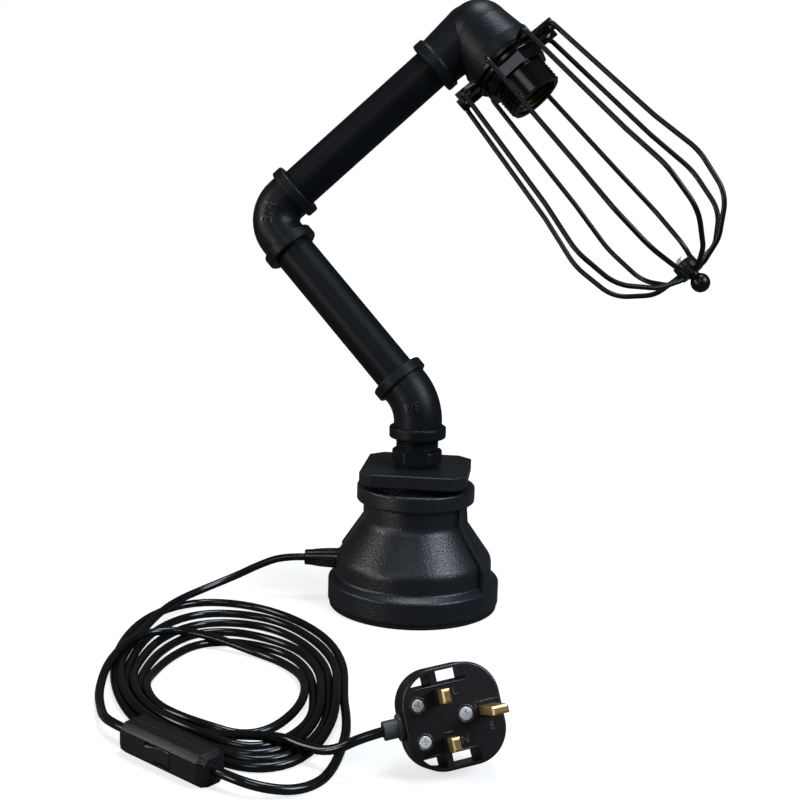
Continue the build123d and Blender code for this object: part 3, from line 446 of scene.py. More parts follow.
studio = {
    "floorSize": 14,
    "floorTone": 0.50, "floorBounce": 0.12,  # as the camera sees it, and as it lights the lamp
    "glow": (0.72, 1.0), "glowReach": (0.45, 1.1),  # the floor's own light, near and far, as seen
    "airSeen": 1.0, "airLight": 0.05,
    "lamps": [  # name, place, aims at, size, power, colour
        ("keyRight", (1.25, -0.85, 1.2), (0, 0, 0.2), (0.8, 0.8), 22, (0.80, 0.88, 1.0)),
        ("softFront", (-0.45, -1.45, 1.1), (0, 0, 0.2), (0.6, 0.6), 2.8, (0.88, 0.94, 1.0)),
        ("softLeft", (-1.5, -0.3, 0.7), (0, 0, 0.2), (0.4, 0.8), 7, (1.0, 1.0, 0.97)),
        ("softTop", (0.1, 0.1, 1.6), (0, 0, 0.1), (0.6, 0.6), 12, (0.80, 0.90, 1.0)),
        ("lowLeft", (-1.1, -0.9, 0.12), (0.05, 0, 0.3), (0.3, 0.2), 3, (1.0, 1.0, 1.0)),
    ],
}


def mixedByCamera(tree, unseen, seen, output):
    path = newNode(tree, "ShaderNodeLightPath")
    mixed = newNode(tree, "ShaderNodeMixShader")
    link(tree, (path.outputs["Is Camera Ray"], mixed.inputs[0]), (unseen, mixed.inputs[1]),
         (seen, mixed.inputs[2]), (mixed.outputs[0], output))


def makeFloor():
    bpy.ops.mesh.primitive_plane_add(size=studio["floorSize"], location=(0, 0, 0))
    floor = bpy.context.object
    floor.name = "floor"
    material = bpy.data.materials.new("paleFloor")
    material.use_nodes = True
    tree = material.node_tree
    tree.nodes.remove(tree.nodes["Principled BSDF"])
    seen, bounce = (newNode(tree, "ShaderNodeBsdfDiffuse", {"Color": (tone, tone, tone, 1)})
                    for tone in (studio["floorTone"], studio["floorBounce"]))
    glow = newNode(tree, "ShaderNodeEmission")
    both = newNode(tree, "ShaderNodeAddShader")
    distance = newNode(tree, "ShaderNodeVectorMath", operation="LENGTH")
    reach = rangeNode(tree, *studio["glowReach"], *studio["glow"])
    link(tree, (newNode(tree, "ShaderNodeTexCoord").outputs["Object"], distance.inputs[0]),
         (distance.outputs["Value"], reach.inputs["Value"]),
         (reach.outputs["Result"], glow.inputs["Strength"]),
         (seen.outputs[0], both.inputs[0]), (glow.outputs[0], both.inputs[1]))
    surface = tree.nodes["Material Output"].inputs["Surface"]
    mixedByCamera(tree, bounce.outputs[0], both.outputs[0], surface)
    floor.data.materials.append(material)


def makeLamps():
    for name, place, aim, size, power, colour in studio["lamps"]:
        data = bpy.data.lights.new(name, "AREA")
        data.shape = "RECTANGLE"
        data.size, data.size_y = size
        data.energy = power
        data.color = colour
        lamp = bpy.data.objects.new(name, data)
        scene.collection.objects.link(lamp)
        lamp.location = place
        lamp.rotation_euler = (Vector(aim) - Vector(place)).to_track_quat("-Z", "Y").to_euler()


def makeAir():
    world = bpy.data.worlds.new("studioAir")
    scene.world = world
    world.use_nodes = True
    tree = world.node_tree
    white = (1, 1, 1, 1)
    air = setInputs(tree.nodes["Background"], {"Strength": studio["airLight"], "Color": white})
    seen = newNode(tree, "ShaderNodeBackground", {"Strength": studio["airSeen"], "Color": white})
    surface = tree.nodes["World Output"].inputs["Surface"]
    mixedByCamera(tree, air.outputs[0], seen.outputs[0], surface)


makeCamera()
makeFloor()
makeLamps()
makeAir()
scene.view_settings.view_transform = "Standard"
print("camera and studio set")


# flex: two leads in one loose coil; stations go round it from the right, anticlockwise

flex = {
    "diameter": 4.8, "floor": 2.42, "clearance": 0.15,
    "outside": [  # the coil's outer edge at each station
        (-33, -160), (-36, -117), (-51, -74), (-79, -39), (-113, -20), (-144, -22), (-166, -51),
        (-174, -96), (-167, -143), (-151, -186), (-131, -217), (-102, -240), (-72, -257),
        (-48, -245), (-36, -208)],
    "holeMiddle": (-98, -163), "holeSemi": (44, 56), "holeTurn": 14,
    "holeAngles": [-14, 14, 40, 62, 83, 106, 127, 147, 172, 200, 226, 250, 272, 294, 320],
    "inside": [-1.5, 0, 1.6, 1.6, 1.6, 1.6, 1.6, 1.6, 0, -2.5, -4, -2.5, 1.6, 1.6, 0],
    "margin": 1.6,  # the strands' distance from the outer edge; inside holds that from the hole
    "lane": 0.2, "tightest": 0.78,  # strands' spacing, of the coil's width, and its least share
    "lanes": {  # share of the coil's width, for stations 0-6 and 7-14 of each turn
        "lamp": ({1: 0.6, 2: 0.2, 3: 0.0}, {0: 0.8, 1: 0.4, 2: 0.0}),
        "plug": ({0: 1.0, 1: 0.8, 2: 0.4}, {0: 1.0, 1: 0.6, 2: 0.2})},
    "raised": {"lamp": (2,), "plug": (0, 1)},  # turns that ride up where the coil is narrow
    "wander": 0.027,  # how far a strand strays in the fan at the back, of the coil's width
    "dodge": {5: 0.05, 6: 0.12},  # how far turns 1 and 2 keep in, by station
    "squeeze": 0.93, "hop": 3.4,  # at the left, where the strands draw together and one hops over
}


def station(index, share):
    # the point at a share of the coil's width from the hole outwards, and the lanes' spacing
    angle, tilt = math.radians(flex["holeAngles"][index]), math.radians(flex["holeTurn"])
    a, b = flex["holeSemi"]
    x, y = flex["holeMiddle"]
    along, across = a * math.cos(angle), b * math.sin(angle)
    near = Vector((x + along * math.cos(tilt) - across * math.sin(tilt),
                   y + along * math.sin(tilt) + across * math.cos(tilt)))
    far = Vector(flex["outside"][index])
    outwards = (far - near).normalized()
    start = near + outwards * flex["inside"][index]
    end = far - outwards * flex["margin"]
    return start + (end - start) * share, (end - start).length * flex["lane"]


def lifted(index):
    # how high a strand rides on neighbours that are closer than its diameter
    spacing = station(index, 0)[1] * flex["tightest"]
    return math.sqrt(max(0, (flex["diameter"] + flex["clearance"]) ** 2 - spacing ** 2))


def coilPoints(lead, turns, firstStation, lastStation, changes):
    # changes: (share, height) given for a (turn, station)
    early, late = flex["lanes"][lead]
    raised = flex["raised"][lead]
    points = []
    for turn in range(turns + 1):
        for index in range(len(flex["outside"])):
            if (turn == 0 and index < firstStation) or (turn == turns and index > lastStation):
                continue
            share = (late if index > 6 else early)[turn]
            height = flex["floor"]
            if turn in (1, 2):
                share -= flex["dodge"].get(index, 0)
            if index in (7, 8):
                share *= flex["squeeze"]
            if 1 < index < 6 and share < 0.95:
                share += flex["wander"] * math.sin(2.1 * index + 1.9 * turn)
            if lead == "lamp" and index in (9, 10, 11):
                height += lifted(index)
            if lead == "lamp" and index == 8:
                height += flex["hop"]
            rightEnd = index in (13, 14) and turn in raised
            rightStart = index in (0, 1, 2) and turn - 1 in raised
            if rightEnd or rightStart:
                height += lifted(index)
            share, height = changes.get((turn, index), (share, height))
            place = station(index, share)[0]
            points.append((place.x, place.y, height))
    return points


floorZ = flex["floor"]
lampLead = [
    (-69.5, 0, 28), (-85.5, 0, 28), (-101, -3, 22.6), (-115, -8, 16.4), (-132, -18, 11.2),
    (-147, -35, 8.6), (-156.5, -55, 6.4),
] + coilPoints("lamp", 3, 7, 6, {(3, 3): (0.02, 2.6), (3, 4): (0.08, 5.6)})[:-2] + [
    (-120.5, -94.5, 7.4), (-135, -89.5, 7.7), (-147.5, -91, 7.9), (-157.5, -98.5, 8.3),
    (-163.5, -113, 8.4), (-166.5, -131, 7.7), (-167, -151, 6.9), (-165, -173, 3.2),
    (-158.5, -194, 3.2), (-152.5, -211, 6.4), (-144.4, -222.3, 8), (-135.0, -229.8, 8),
]
plugLead = [
    (-88.0, -267.2, 8), (-78.6, -274.7, 8), (-64.6, -278.6, 5.8), (-50, -275, 3.0),
    (-39.1, -264.8, floorZ), (-34.1, -249.2, floorZ), (-31.8, -230, floorZ),
    (-30.4, -210, floorZ), (-31.8, -189, floorZ), (-34.5, -169, floorZ),
] + coilPoints("plug", 2, 1, 11, {(2, 11): (0.24, 3.6)}) + [
    (-62, -227.5, 7.6), (-50, -238, 7.6), (-35.5, -248.5, 9.6), (-19.4, -251.4, 20.1),
    (-2.4, -246.1, 22.72),
]


def layFlex(name, route, stands):
    curve = roundCurve(name, "NURBS", route, flex["diameter"] / 2, 5)
    curve.resolution_u = 5
    curve.splines[0].order_u = 3
    curve.splines[0].use_endpoint_u = True
    curve.materials.append(finishes["flex"])
    lead = bpy.data.objects.new(name, curve)
    scene.collection.objects.link(lead)
    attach(lead, "base")
    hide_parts(*stands)


# geometry node trees for what repeats

def endTree(tree, given, out, geometry):
    realized = newNode(tree, "GeometryNodeRealizeInstances")
    painted = newNode(tree, "GeometryNodeSetMaterial")
    link(tree, (geometry, realized.inputs[0]), (realized.outputs[0], painted.inputs["Geometry"]),
         (given.outputs["Finish"], painted.inputs["Material"]), (painted.outputs[0], out.inputs[0]))
    return tree


def buildScrewThread():
    # a ridge wound round local Z, upwards from the origin
    tree, given, out = nodeGroup("screwThread", "GeometryNodeTree", [
        ("Radius", "Float", 0.01), ("Pitch", "Float", 0.002), ("Turns", "Float", 3.0),
        ("Tooth", "Float", 0.0006), ("Finish", "Material", None),
    ], [("Geometry", "Geometry")])
    spiral = newNode(tree, "GeometryNodeCurveSpiral", {"Resolution": 72})
    upright = newNode(tree, "GeometryNodeSetCurveNormal", mode="Z_UP")
    tooth = newNode(tree, "GeometryNodeCurvePrimitiveCircle", {"Resolution": 4})
    swept = newNode(tree, "GeometryNodeCurveToMesh", {"Fill Caps": True})
    rise = mathNode(tree, "MULTIPLY", given.outputs["Pitch"], given.outputs["Turns"])
    link(tree, (given.outputs["Turns"], spiral.inputs["Rotations"]),
         (given.outputs["Radius"], spiral.inputs["Start Radius"]),
         (given.outputs["Radius"], spiral.inputs["End Radius"]),
         (rise, spiral.inputs["Height"]), (spiral.outputs[0], upright.inputs[0]),
         (upright.outputs[0], swept.inputs["Curve"]),
         (given.outputs["Tooth"], tooth.inputs["Radius"]),
         (tooth.outputs[0], swept.inputs["Profile Curve"]))
    return endTree(tree, given, out, swept.outputs[0])


def buildRingOf():
    # copies of a shape in a ring round local Z; the shape's own X points away from the axis
    tree, given, out = nodeGroup("ringOf", "GeometryNodeTree", [
        ("Shape", "Object", None), ("Count", "Int", 8), ("Radius", "Float", 0.01),
        ("First Angle", "Float", 0.0), ("Lean", "Float", 0.0), ("Finish", "Material", None),
    ], [("Geometry", "Geometry")])
    points = newNode(tree, "GeometryNodePoints")
    placed = newNode(tree, "GeometryNodeInstanceOnPoints")
    shape = newNode(tree, "GeometryNodeObjectInfo")
    index = newNode(tree, "GeometryNodeInputIndex").outputs[0]
    step = mathNode(tree, "DIVIDE", 2 * math.pi, given.outputs["Count"])
    angle = mathNode(tree, "MULTIPLY_ADD", index, step, given.outputs["First Angle"])
    place, lean = newNode(tree, "ShaderNodeCombineXYZ"), newNode(tree, "ShaderNodeCombineXYZ")
    euler = newNode(tree, "FunctionNodeEulerToRotation")
    for axis, operation in (("X", "COSINE"), ("Y", "SINE")):
        share = mathNode(tree, operation, angle)
        reach = mathNode(tree, "MULTIPLY", share, given.outputs["Radius"])
        link(tree, (reach, place.inputs[axis]))
    link(tree, (given.outputs["Count"], points.inputs["Count"]),
         (place.outputs[0], points.inputs["Position"]),
         (given.outputs["Lean"], lean.inputs["Y"]), (angle, lean.inputs["Z"]),
         (lean.outputs[0], euler.inputs[0]), (given.outputs["Shape"], shape.inputs["Object"]),
         (points.outputs[0], placed.inputs["Points"]),
         (shape.outputs["Geometry"], placed.inputs["Instance"]),
         (euler.outputs[0], placed.inputs["Rotation"]))
    return endTree(tree, given, out, placed.outputs[0])


screwThread = buildScrewThread()
ringOf = buildRingOf()


def grown(tree, matrix, values):
    def dress(holder):
        modifier = holder.modifiers.new("grow", "NODES")
        modifier.node_group = tree
        for item in tree.interface.items_tree:
            if item.in_out == "INPUT":
                modifier[item.identifier] = values[item.name]

    mesh = meshOf(bpy.data.meshes.new("grower"), dress)
    mesh.transform(matrix)
    return mesh


def ringed(mesh, matrix, values):
    shape = bpy.data.objects.new("shape", mesh)
    scene.collection.objects.link(shape)
    result = grown(ringOf, matrix, {"Shape": shape, **values})
    bpy.data.objects.remove(shape)
    return result


def ovalBar(length, width, depth):
    # a rounded bar along local Z from the origin, its back on X = 0
    rings, sides = [], 8
    for step in range(9):
        share = step / 8
        swell = math.sqrt(max(0.02, math.sin(math.pi * share)))
        angles = [math.pi * side / sides - math.pi / 2 for side in range(sides + 1)]
        rings.append([mm(depth * swell * math.cos(angle), width / 2 * swell * math.sin(angle),
                         length * share) for angle in angles])
    return meshFrom(*lofted(rings))


# places of the lampholder and of the plug's face

def jointPlace(name):
    return Vector(joints[name]["pos_m"]), Vector(joints[name]["axis"]).normalized()


mouth, headAxis = jointPlace("knob_turn")
headPlace = placeAt(mouth, headAxis, headAxis.cross(jointPlace("head_turn")[1]))
plugSizes = {
    "centre": (22.5, -248, 29.947), "yaw": 14, "roll": 9, "tilt": 22,
    "screws": [(-16.5, -8.5, 2.9), (-16.5, 8.5, 2.9), (5.5, 0, 3.2)],  # u, w, radius
    "screwProud": 0.5, "screwLow": -0.4, "shank": 1.6, "tail": -9.5, "cross": (0.42, 1.75, 0.8),
}


def makePlugPlace():
    yaw, roll, tilt = (math.radians(plugSizes[key]) for key in ("yaw", "roll", "tilt"))
    side = Vector((math.cos(yaw), math.sin(yaw), 0))
    normal = Matrix.Rotation(-tilt, 3, side) @ Vector((math.sin(yaw), -math.cos(yaw), 0))
    return placeAt(mm(*plugSizes["centre"]), normal, Matrix.Rotation(roll, 3, normal) @ side)


plugPlace = makePlugPlace()


# threads of the fittings

threadSizes = {  # body, radius, pitch, turns, tooth, lowest turn
    "bushingThread": ("base", 29.9, 1.15, 2.7, 0.50, 80.45),
    "nippleFoot": ("arm", 13.2, 0.80, 1.0, 0.36, 93.0),
    "nippleThread": ("arm", 13.2, 1.55, 4.2, 0.55, 103.9),
}
for name, (body, radius, pitch, turns, tooth, low) in threadSizes.items():
    thread = grown(screwThread, shifted(0, 0, low), {
        "Radius": radius / 1000, "Pitch": pitch / 1000, "Turns": turns, "Tooth": tooth / 1000,
        "Finish": finishes["casting"]})
    addPiece(name, thread, body, "casting", 20)
print("threads cut")


# rounded beads along the edges of the two ribs on the base, coloured lighter than the casting as a
# painted highlight

ribEdges = {"turns": (-31, 149), "half": 3.0, "radius": 0.45,
            "line": [(54.85, 16.0), (54.85, 31.9), (37.65, 55.9), (36.15, 70.0)]}


def makeRibEdges():
    beads = []
    for angle in ribEdges["turns"]:
        for side in (-1, 1):
            route = [(radius, side * ribEdges["half"], height)
                     for radius, height in ribEdges["line"]]
            bead = meshOf(roundCurve("bead", "POLY", route, ribEdges["radius"], 3))
            bead.transform(turned(angle))
            beads.append(bead)
    # the beads take the lighter casting tone: a painted highlight along the rib edges
    addPiece("ribEdges", joinMeshes(beads), "base", "castHighlight", 40)


makeRibEdges()
print("rib edges rounded")


# cord gland: a fluted taper with a collar against the base

gland = {"seat": -47.5, "height": 28, "length": 24, "wide": 7.0, "narrow": 4.9, "collar": 2.4,
         "step": 0.55, "bore": 2.45, "thread": 5.0, "grip": 6.5,
         "flutes": 26, "flute": (0.75, 0.42), "fluteEnds": 5.5, "fluteStart": 0.3}


def makeGland():
    place = placeAt(mm(gland["seat"], 0, gland["height"]), (-1, 0, 0), (0, 0, 1))
    wide, narrow, length, collar = (gland[key] for key in ("wide", "narrow", "length", "collar"))
    bore, thread, grip = gland["bore"], gland["thread"], gland["grip"]
    start = wide - gland["step"]
    slope = (start - narrow) / (length - collar)
    body = spun([
        (bore, -grip), (thread, -grip), (thread, 0), (wide - 0.25, 0), (wide, 0.3),
        (wide, collar - 0.4), (wide - 0.2, collar - 0.1), (start, collar),
        (narrow + slope, length - 1), (narrow + 0.1, length - 0.45), (narrow - 0.35, length),
        (bore + 0.5, length), (bore, length - 0.5),
    ], 48, place)
    flute = ovalBar(length - collar - gland["fluteEnds"], *gland["flute"])
    flutes = ringed(flute, place @ shifted(0, 0, collar + gland["fluteStart"]), {
        "Count": gland["flutes"], "Radius": (start - 0.05) / 1000, "First Angle": 0.0,
        "Lean": -math.atan(slope), "Finish": finishes["flex"]})
    addPiece("cordGland", joinMeshes([body, flutes]), "base", "flex", 30,
             ["cord_gland"])


makeGland()
print("gland made")


# lampholder: threaded skirt with two plain panels, and the rolled brass shell, its brass darkened
# as painted shade

skirt = {"low": 13.8, "end": 31.2, "inner": 15.5, "mouth": 14.6, "lip": 2.0, "root": 17.0,
         "crest": 18.7, "pitch": 2.45, "tooth": 0.24, "endShare": 0.35, "fadeRows": 3,
         "panels": (-17, 163), "panelHalf": 40, "panelRadius": 18.35}


def toothAt(height, angle):
    # 0 in the root, 1 on the crest; the crest is narrow and the root is round
    share = (height / skirt["pitch"] - angle / (2 * math.pi)) % 1
    return max(0.0, 1 - abs(share - 0.5) / skirt["tooth"]) ** 0.6


def makeSkirt():
    steps, rows = 168, 66
    low, end, inner, lip, ends = (skirt[key] for key in ("low", "end", "inner", "lip", "endShare"))
    root, inside = skirt["root"], skirt["mouth"]
    heights = [low + 0.5 + (end - low - 1.0) * row / rows for row in range(rows + 1)]
    profile = [(inner, low), (root, low)] + [(root, height) for height in heights] + [
        (root, end), (inside + 0.4, end), (inside, end - 0.4), (inside, end - lip),
        (inner, end - lip)]
    first, last = 2, 2 + rows
    depth = skirt["crest"] - root

    def shape(angle, row):
        if row < first or row > last:
            return depth * ends if row in (1, last + 1) else 0
        degrees = math.degrees(angle)
        off = min(abs((degrees - middle + 180) % 360 - 180) for middle in skirt["panels"])
        if off < skirt["panelHalf"]:
            return skirt["panelRadius"] - root
        fade = min(1, (row - first) / skirt["fadeRows"], (last - row) / skirt["fadeRows"])
        return depth * (ends + (toothAt(heights[row - first], angle) - ends) * fade)

    addPiece("holderSkirt", spun(profile, steps, headPlace, shape), "head", "holder",
             28, ["holder_skirt"])


shell = {"low": 13.8, "foot": 17.0, "end": 30.0, "footInner": 11.0, "inner": 13.3, "wall": 0.6,
         "pitch": 3.6, "wave": 0.42}


def makeShell():
    steps, rows = 96, 40
    low, foot, end, inner = (shell[key] for key in ("low", "foot", "end", "inner"))
    outer = inner + shell["wall"]
    heights = [foot + 0.8 + (end - foot - 1.2) * row / rows for row in range(rows + 1)]
    profile = [(shell["footInner"], low), (outer, low)] + [(outer, height) for height in heights]
    profile += [(inner + 0.45, end), (inner + 0.15, end)]
    profile += [(inner, height) for height in reversed(heights)]
    profile += [(inner, foot), (shell["footInner"], foot)]

    def shape(angle, row):
        height = profile[row][1]
        if not foot + 0.7 < height < end - 0.3:
            return 0
        return shell["wave"] * (1 + math.cos(2 * math.pi * height / shell["pitch"] - angle)) / 2

    # the shell's brass is darkened as painted shade
    addPiece("screwShell", spun(profile, steps, headPlace, shape), "head", "brassInShade",
             40, ["holder_screw_shell"])


makeSkirt()
makeShell()
print("lampholder made")


# screws with a crossed recess

def screwMesh(radius, low, top, shank, shankLow, cross, dome=0.0):
    # cross: the recess's half width, reach and depth; dome: how far the head's edge drops
    half, reach, deep = cross
    profile = [(0.0, shankLow), (shank, shankLow), (shank, low), (radius, low),
               (radius, top - 0.25 - dome), (radius * 0.93, top - 0.08 - dome * 0.75),
               (radius * 0.78, top - dome * 0.4), (0.0, top), (0.0, top - deep),
               (0.0, top - deep)]
    recess = {7: 1.0, 8: 0.82}  # the star's size at its rim and at its floor, by row

    def shape(angle, row):
        c, s = abs(math.cos(angle)) + 1e-6, abs(math.sin(angle)) + 1e-6
        star = max(min(reach / c, half / s), min(reach / s, half / c))
        return star * recess.get(row, 0)

    return spun(profile, 56, Matrix.Identity(4), shape)


def makePlugScrews():
    heads = []
    for u, w, radius in plugSizes["screws"]:
        head = screwMesh(radius, plugSizes["screwLow"], plugSizes["screwProud"],
                         plugSizes["shank"], plugSizes["tail"], plugSizes["cross"])
        heads.append(placedCopy(head, plugPlace @ shifted(u, w, 0) @ turned(17 * u + 31 * w)))
    return addPiece("plugScrews", joinMeshes(heads), "base", "nickel", 25,
                    ["plug_screws"])


clamps = {"seat": 33.0, "height": 1.4, "turn": -7.5, "outside": 7.2, "head": 2.6,
          "headRadius": 3.6, "dome": 0.9, "cross": (0.5, 2.1, 1.1), "shank": 1.95, "tail": 10.5,
          "ridge": 0.22, "ridgePitch": 0.35}


def makeClamps():
    shanks, heads = [], []
    out, tail, shank = clamps["outside"], clamps["tail"], clamps["shank"]
    ridges = [(shank - (clamps["ridge"] if step % 2 else 0), -tail + clamps["ridgePitch"] * step)
              for step in range(50)]
    ridges = [spot for spot in ridges if spot[1] < out]
    for side in (-1, 1):
        seat = headPlace @ turned(clamps["turn"]) @ shifted(
            0, side * clamps["seat"], clamps["height"]) @ turned(90, "Y")
        head = screwMesh(clamps["headRadius"], out, out + clamps["head"], 1.0, out - 0.3,
                         clamps["cross"], clamps["dome"])
        heads.append(placedCopy(head, seat))
        shanks.append(spun([(0.0, -tail), *ridges, (shank, out), (0.0, out)], 28, seat))
    addPiece("clampShanks", joinMeshes(shanks), "head", "nickel", 20,
             ["cage_clamp_screws"])
    addPiece("clampHeads", joinMeshes(heads), "head", "wire", 25)


welds = {"count": 8, "ring": 27.1, "height": 1.5, "firstAngle": 15.0, "radius": 1.9,
         "squash": (1.15, 0.95, 0.72)}


def makeWelds():
    # a bead where each wire of the cage meets the ring
    bm = bmesh.new()
    bmesh.ops.create_icosphere(bm, subdivisions=3, radius=welds["radius"] / 1000)
    bmesh.ops.scale(bm, vec=welds["squash"], verts=bm.verts)
    bead = bpy.data.meshes.new("bead")
    bm.to_mesh(bead)
    bm.free()
    beads = ringed(bead, headPlace @ shifted(0, 0, welds["height"]), {
        "Count": welds["count"], "Radius": welds["ring"] / 1000,
        "First Angle": math.radians(welds["firstAngle"]), "Lean": 0.0,
        "Finish": finishes["wire"]})
    addPiece("weldBeads", beads, "head", "wire", 0)


tipBoss = {"low": 170.6, "high": 174.7, "inner": 4.75, "outer": 7.5, "edge": 0.9}


def makeTipBoss():
    # the collar round the nut at the cage's tip
    low, high, inner, outer, edge = (
        tipBoss[key] for key in ("low", "high", "inner", "outer", "edge"))
    outline = [(inner, high), (inner, low + 0.3), (inner + 0.3, low), (outer - edge, low),
               (outer - edge * 0.3, low + edge * 0.3), (outer, low + edge), (outer, high)]
    addPiece("tipBoss", spun(outline, 48, headPlace), "head", "wire", 40)


plugPieces = [makePlugScrews()]
makeClamps()
makeWelds()
makeTipBoss()
print("screws and welds made")


# raised marks: plain pipe sizes and pin letters

sizeMarks = {  # seen: the point of the camera's view that the mark sits at
    "elbowSizeMark": {"casting": "middle_elbow", "body": "forearm", "text": "3/4", "size": 11.5,
                      "seen": (269, 212), "turn": 76, "relief": 0.70},
    "footSizeMark": {"casting": "foot_elbow", "body": "arm", "text": "3/4", "size": 8.5,
                     "seen": (412, 406), "turn": 186, "relief": 0.60},
}


def surfaceOf(name):
    mesh = nodes[name].data
    return BVHTree.FromPolygons([v.co for v in mesh.vertices],
                                [p.vertices for p in mesh.polygons])


def cameraRay(x, y):
    focal = viewpoint["lens"] / viewpoint["sensor"] * viewpoint["pixels"]
    middle = viewpoint["pixels"] / 2
    matrix = scene.camera.matrix_world
    ray = matrix.to_3x3() @ Vector(((x - middle) / focal, (middle - y) / focal, -1))
    return matrix.translation, ray.normalized()


def letterMesh(text, size, longest):
    # flat letters whose edges are no longer than longest
    font = bpy.data.curves.new("letters", "FONT")
    font.body, font.size, font.align_x, font.align_y = text, size / 1000, "CENTER", "CENTER"
    font.resolution_u = 5
    bm = bmesh.new()
    bm.from_mesh(meshOf(font))
    for sweep in range(4):
        bmesh.ops.triangulate(bm, faces=bm.faces)
        long = [edge for edge in bm.edges if edge.calc_length() > longest / 1000]
        if long:
            bmesh.ops.subdivide_edges(bm, edges=long, cuts=1)
    bmesh.ops.triangulate(bm, faces=bm.faces)
    bmesh.ops.remove_doubles(bm, verts=bm.verts, dist=2e-5)
    return bm


def embossed(text, size, place, surface, relief, longest):
    # letters laid on a surface: place's Z points out of it, X along the reading direction
    above, below = 12, 0.3
    bm = letterMesh(text, size, longest)
    out = place.to_3x3() @ Vector((0, 0, 1))
    tops, roots = [], []
    for vert in bm.verts:
        start = place @ vert.co + out * above / 1000
        spot, normal = surface.ray_cast(start, -out)[:2]
        normal = normal if normal.dot(out) > 0 else -normal
        tops.append(spot + normal * relief / 1000)
        roots.append(spot - normal * below / 1000)
    bm.verts.index_update()
    count = len(tops)
    faces = []
    for face in bm.faces:
        ring = [vert.index for vert in face.verts]
        faces.append(ring)
        faces.append([index + count for index in reversed(ring)])
    for edge in bm.edges:
        if len(edge.link_faces) == 1:
            a, b = (vert.index for vert in edge.verts)
            faces.append((a, b, b + count, a + count))
    bm.free()
    return meshFrom(tops + roots, faces)


def makeSizeMark(name, body, casting, text, size, seen, turn, relief):
    surface = surfaceOf(casting)
    spot, normal = surface.ray_cast(*cameraRay(*seen))[:2]
    angle = math.radians(turn)
    right = scene.camera.matrix_world.to_3x3() @ Vector((math.cos(angle), math.sin(angle), 0))
    mark = embossed(text, size, placeAt(spot, normal, right), surface, relief, 1.4)
    # the raised letters take the lighter casting tone: a painted highlight on their strokes
    addPiece(name, mark, body, "castHighlight", 40)


for name, mark in sizeMarks.items():
    makeSizeMark(name, **mark)
print("size marks raised")


# plug face: lips round the screws, ribs beside the pins, pin letters, all coloured lighter than the
# shell as a painted highlight

plugFace = {
    "ribs": [  # u, w, length, width, proud, turn
        (-5.0, 15.6, 27.0, 0.9, 0.75, 0), (-5.0, -15.6, 27.0, 0.9, 0.75, 0),
        (-5.0, 6.6, 7.0, 0.8, 0.7, 0), (-5.0, -6.6, 7.0, 0.8, 0.7, 0),
        (16.6, 4.0, 12.0, 0.8, 0.7, 0), (16.6, -4.0, 12.0, 0.8, 0.7, 0),
        (10.6, 0.0, 8.0, 0.8, 0.7, 90)],
    "lip": [(0.35, -0.2), (0.35, 0.3), (0.6, 0.5), (0.95, 0.5), (1.2, 0.3), (1.2, -0.2)],
    "letters": [("L", 2.4, 11.4, 5.2), ("N", 2.4, -11.4, 5.2), ("E", 16.8, -8.2, 4.8)],
    "relief": 0.28,
}


def barOn(place, u, w, length, width, proud, angle):
    # the bar's Z becomes the face's U, its X the face's normal
    lay = Matrix(((0, 0, 1, 0), (0, -1, 0, 0), (1, 0, 0, 0), (0, 0, 0, 1)))
    spot = place @ shifted(u, w, -0.05) @ turned(angle) @ lay @ shifted(0, 0, -length / 2)
    return placedCopy(ovalBar(length, width, proud), spot)


def makePlugFace():
    bars = [barOn(plugPlace, *sizes) for sizes in plugFace["ribs"]]
    for u, w, radius in plugSizes["screws"]:
        ring = [(radius + grow, height) for grow, height in plugFace["lip"]]
        bars.append(spun(ring, 40, plugPlace @ shifted(u, w, 0)))
    surface = surfaceOf("plug_base")
    letters = [embossed(text, size, plugPlace @ shifted(u, w, 0), surface, plugFace["relief"], 3)
               for text, u, w, size in plugFace["letters"]]
    # ribs, lips and letters are coloured lighter than the shell: a painted highlight
    return [addPiece("plugFaceRibs", joinMeshes(bars), "base", "plugRibHighlight", 40),
            addPiece("plugLetters", joinMeshes(letters), "base", "letters", 40)]


plugPieces += makePlugFace()
print("plug face made")


# switch: a case with sloping ends and soft edges, its seam and its rocker

inlineSwitch = {
    "middle": (-111.5, -248.5, 8), "turn": -38.5, "half": (30.0, 8.5, 8.0), "chamfer": 3.0,
    "slope": (3.0, 2.0), "endRise": 0.6, "window": (8.9, 4.5), "pocket": 7.4, "edge": 0.7,
    "seam": 0.34, "seamProud": 0.07, "seamDeep": 0.3, "seamFoot": 3.0,
}
switchPlace = shifted(*inlineSwitch["middle"]) @ turned(inlineSwitch["turn"])


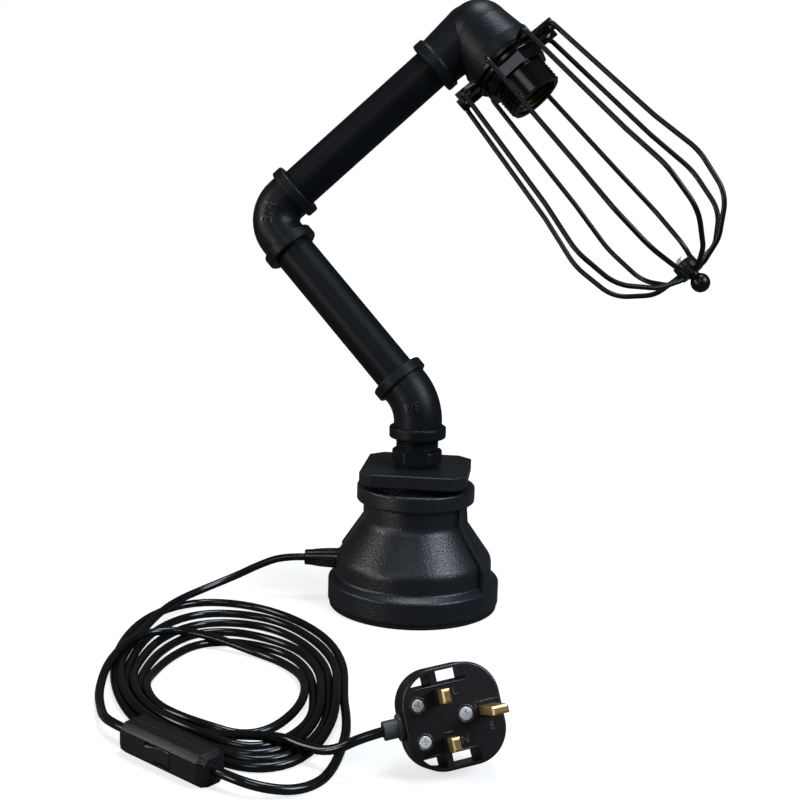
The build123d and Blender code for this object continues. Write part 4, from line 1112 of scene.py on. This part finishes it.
def makeSwitchCase():
    long, deep, high = inlineSwitch["half"]
    run, drop = inlineSwitch["slope"]
    wide, tall = inlineSwitch["window"]
    cut = inlineSwitch["chamfer"]

    def section(x, inset):
        d, h = deep - inset, high - inset
        low = inlineSwitch["endRise"] - high if inset else -high
        return [mm(x, y, z) for y, z in (
            (-d, -tall), (-d, tall), (-d, h - cut), (-d + cut, h), (d - cut, h), (d, h - cut),
            (d, low + cut), (d - cut, low), (-d + cut, low), (-d, low + cut))]

    rings = [section(x, inset) for x, inset in (
        (-long, drop), (-long + run, 0), (-wide, 0), (wide, 0), (long - run, 0), (long, drop))]
    verts, faces = lofted(rings, gaps=[(2, 0)])
    # the rocker's pocket, behind that gap
    sides, first = len(rings[0]), len(verts)
    rim = [2 * sides, 2 * sides + 1, 3 * sides + 1, 3 * sides]
    verts += [verts[index] + mm(0, inlineSwitch["pocket"], 0) for index in rim]
    for side in range(4):
        following = (side + 1) % 4
        faces.append((rim[side], rim[following], first + following, first + side))
    faces.append(tuple(range(first, first + 4)))
    case = bevelled(meshFrom(verts, faces), inlineSwitch["edge"])
    case.transform(switchPlace)
    return addPiece("switchCase", case, "base", "switch", 50,
                    ["switch_front", "switch_back"])


def makeSwitchSeam():
    # a thin bead along the middle of the case, over its top and its ends
    long, _, high = inlineSwitch["half"]
    run, drop = inlineSwitch["slope"]
    proud, deep, half = (inlineSwitch["seamProud"], -inlineSwitch["seamDeep"],
                         inlineSwitch["seam"] / 2)
    foot, shoulder = drop - high + inlineSwitch["seamFoot"], high - drop - inlineSwitch["endRise"]
    outline = [(-long, foot), (-long, shoulder), (-long + run, high), (long - run, high),
               (long, shoulder), (long, foot)]
    rings = []
    for x, z in outline:
        rings.append([mm(x + grow * math.copysign(1, x), y, z + (grow if z > 0 else 0))
                      for grow, y in ((proud, -half), (proud, half), (deep, half), (deep, -half))])
    seam = meshFrom(*lofted(rings), switchPlace)
    return addPiece("switchSeam", seam, "base", "rocker", 30)


rockerKey = {"pivot": -4.3, "half": 7.8, "proud": 5.4, "middle": 3.9, "foot": 0.6,
             "heel": (3.2, 2.6), "tall": 4.0, "tilt": 8.0, "edge": 0.7}


def makeRocker():
    half, proud, foot, tall = (rockerKey[key] for key in ("half", "proud", "foot", "tall"))
    heel, depth = rockerKey["heel"]
    outline = [(-half, -proud), (0, -rockerKey["middle"]), (half, -proud), (half, -foot),
               (heel, depth), (-heel, depth), (-half, -foot)]
    rings = [[mm(x, y, z) for x, y in outline] for z in (-tall, tall)]
    key = bevelled(meshFrom(*lofted(rings)), rockerKey["edge"])
    key.transform(switchPlace @ shifted(0, rockerKey["pivot"], 0) @ turned(rockerKey["tilt"]))
    return addPiece("rockerKeyCap", key, "rocker", "rocker", 40,
                    ["switch_rocker"])


switchPieces = [makeSwitchCase(), makeSwitchSeam(), makeRocker()]
switchPieces += [nodes[name] for name in nodes if name.startswith("switch_")]
plugPieces += [nodes[name] for name in nodes if name.startswith("plug_")]
layFlex("lampFlex", lampLead,
        ["flex_lead", "flex_coil", "flex_to_switch"])
layFlex("plugFlex", plugLead, ["flex_from_switch", "flex_to_plug"])
print("switch made, flex laid")

bpy.context.view_layer.update()
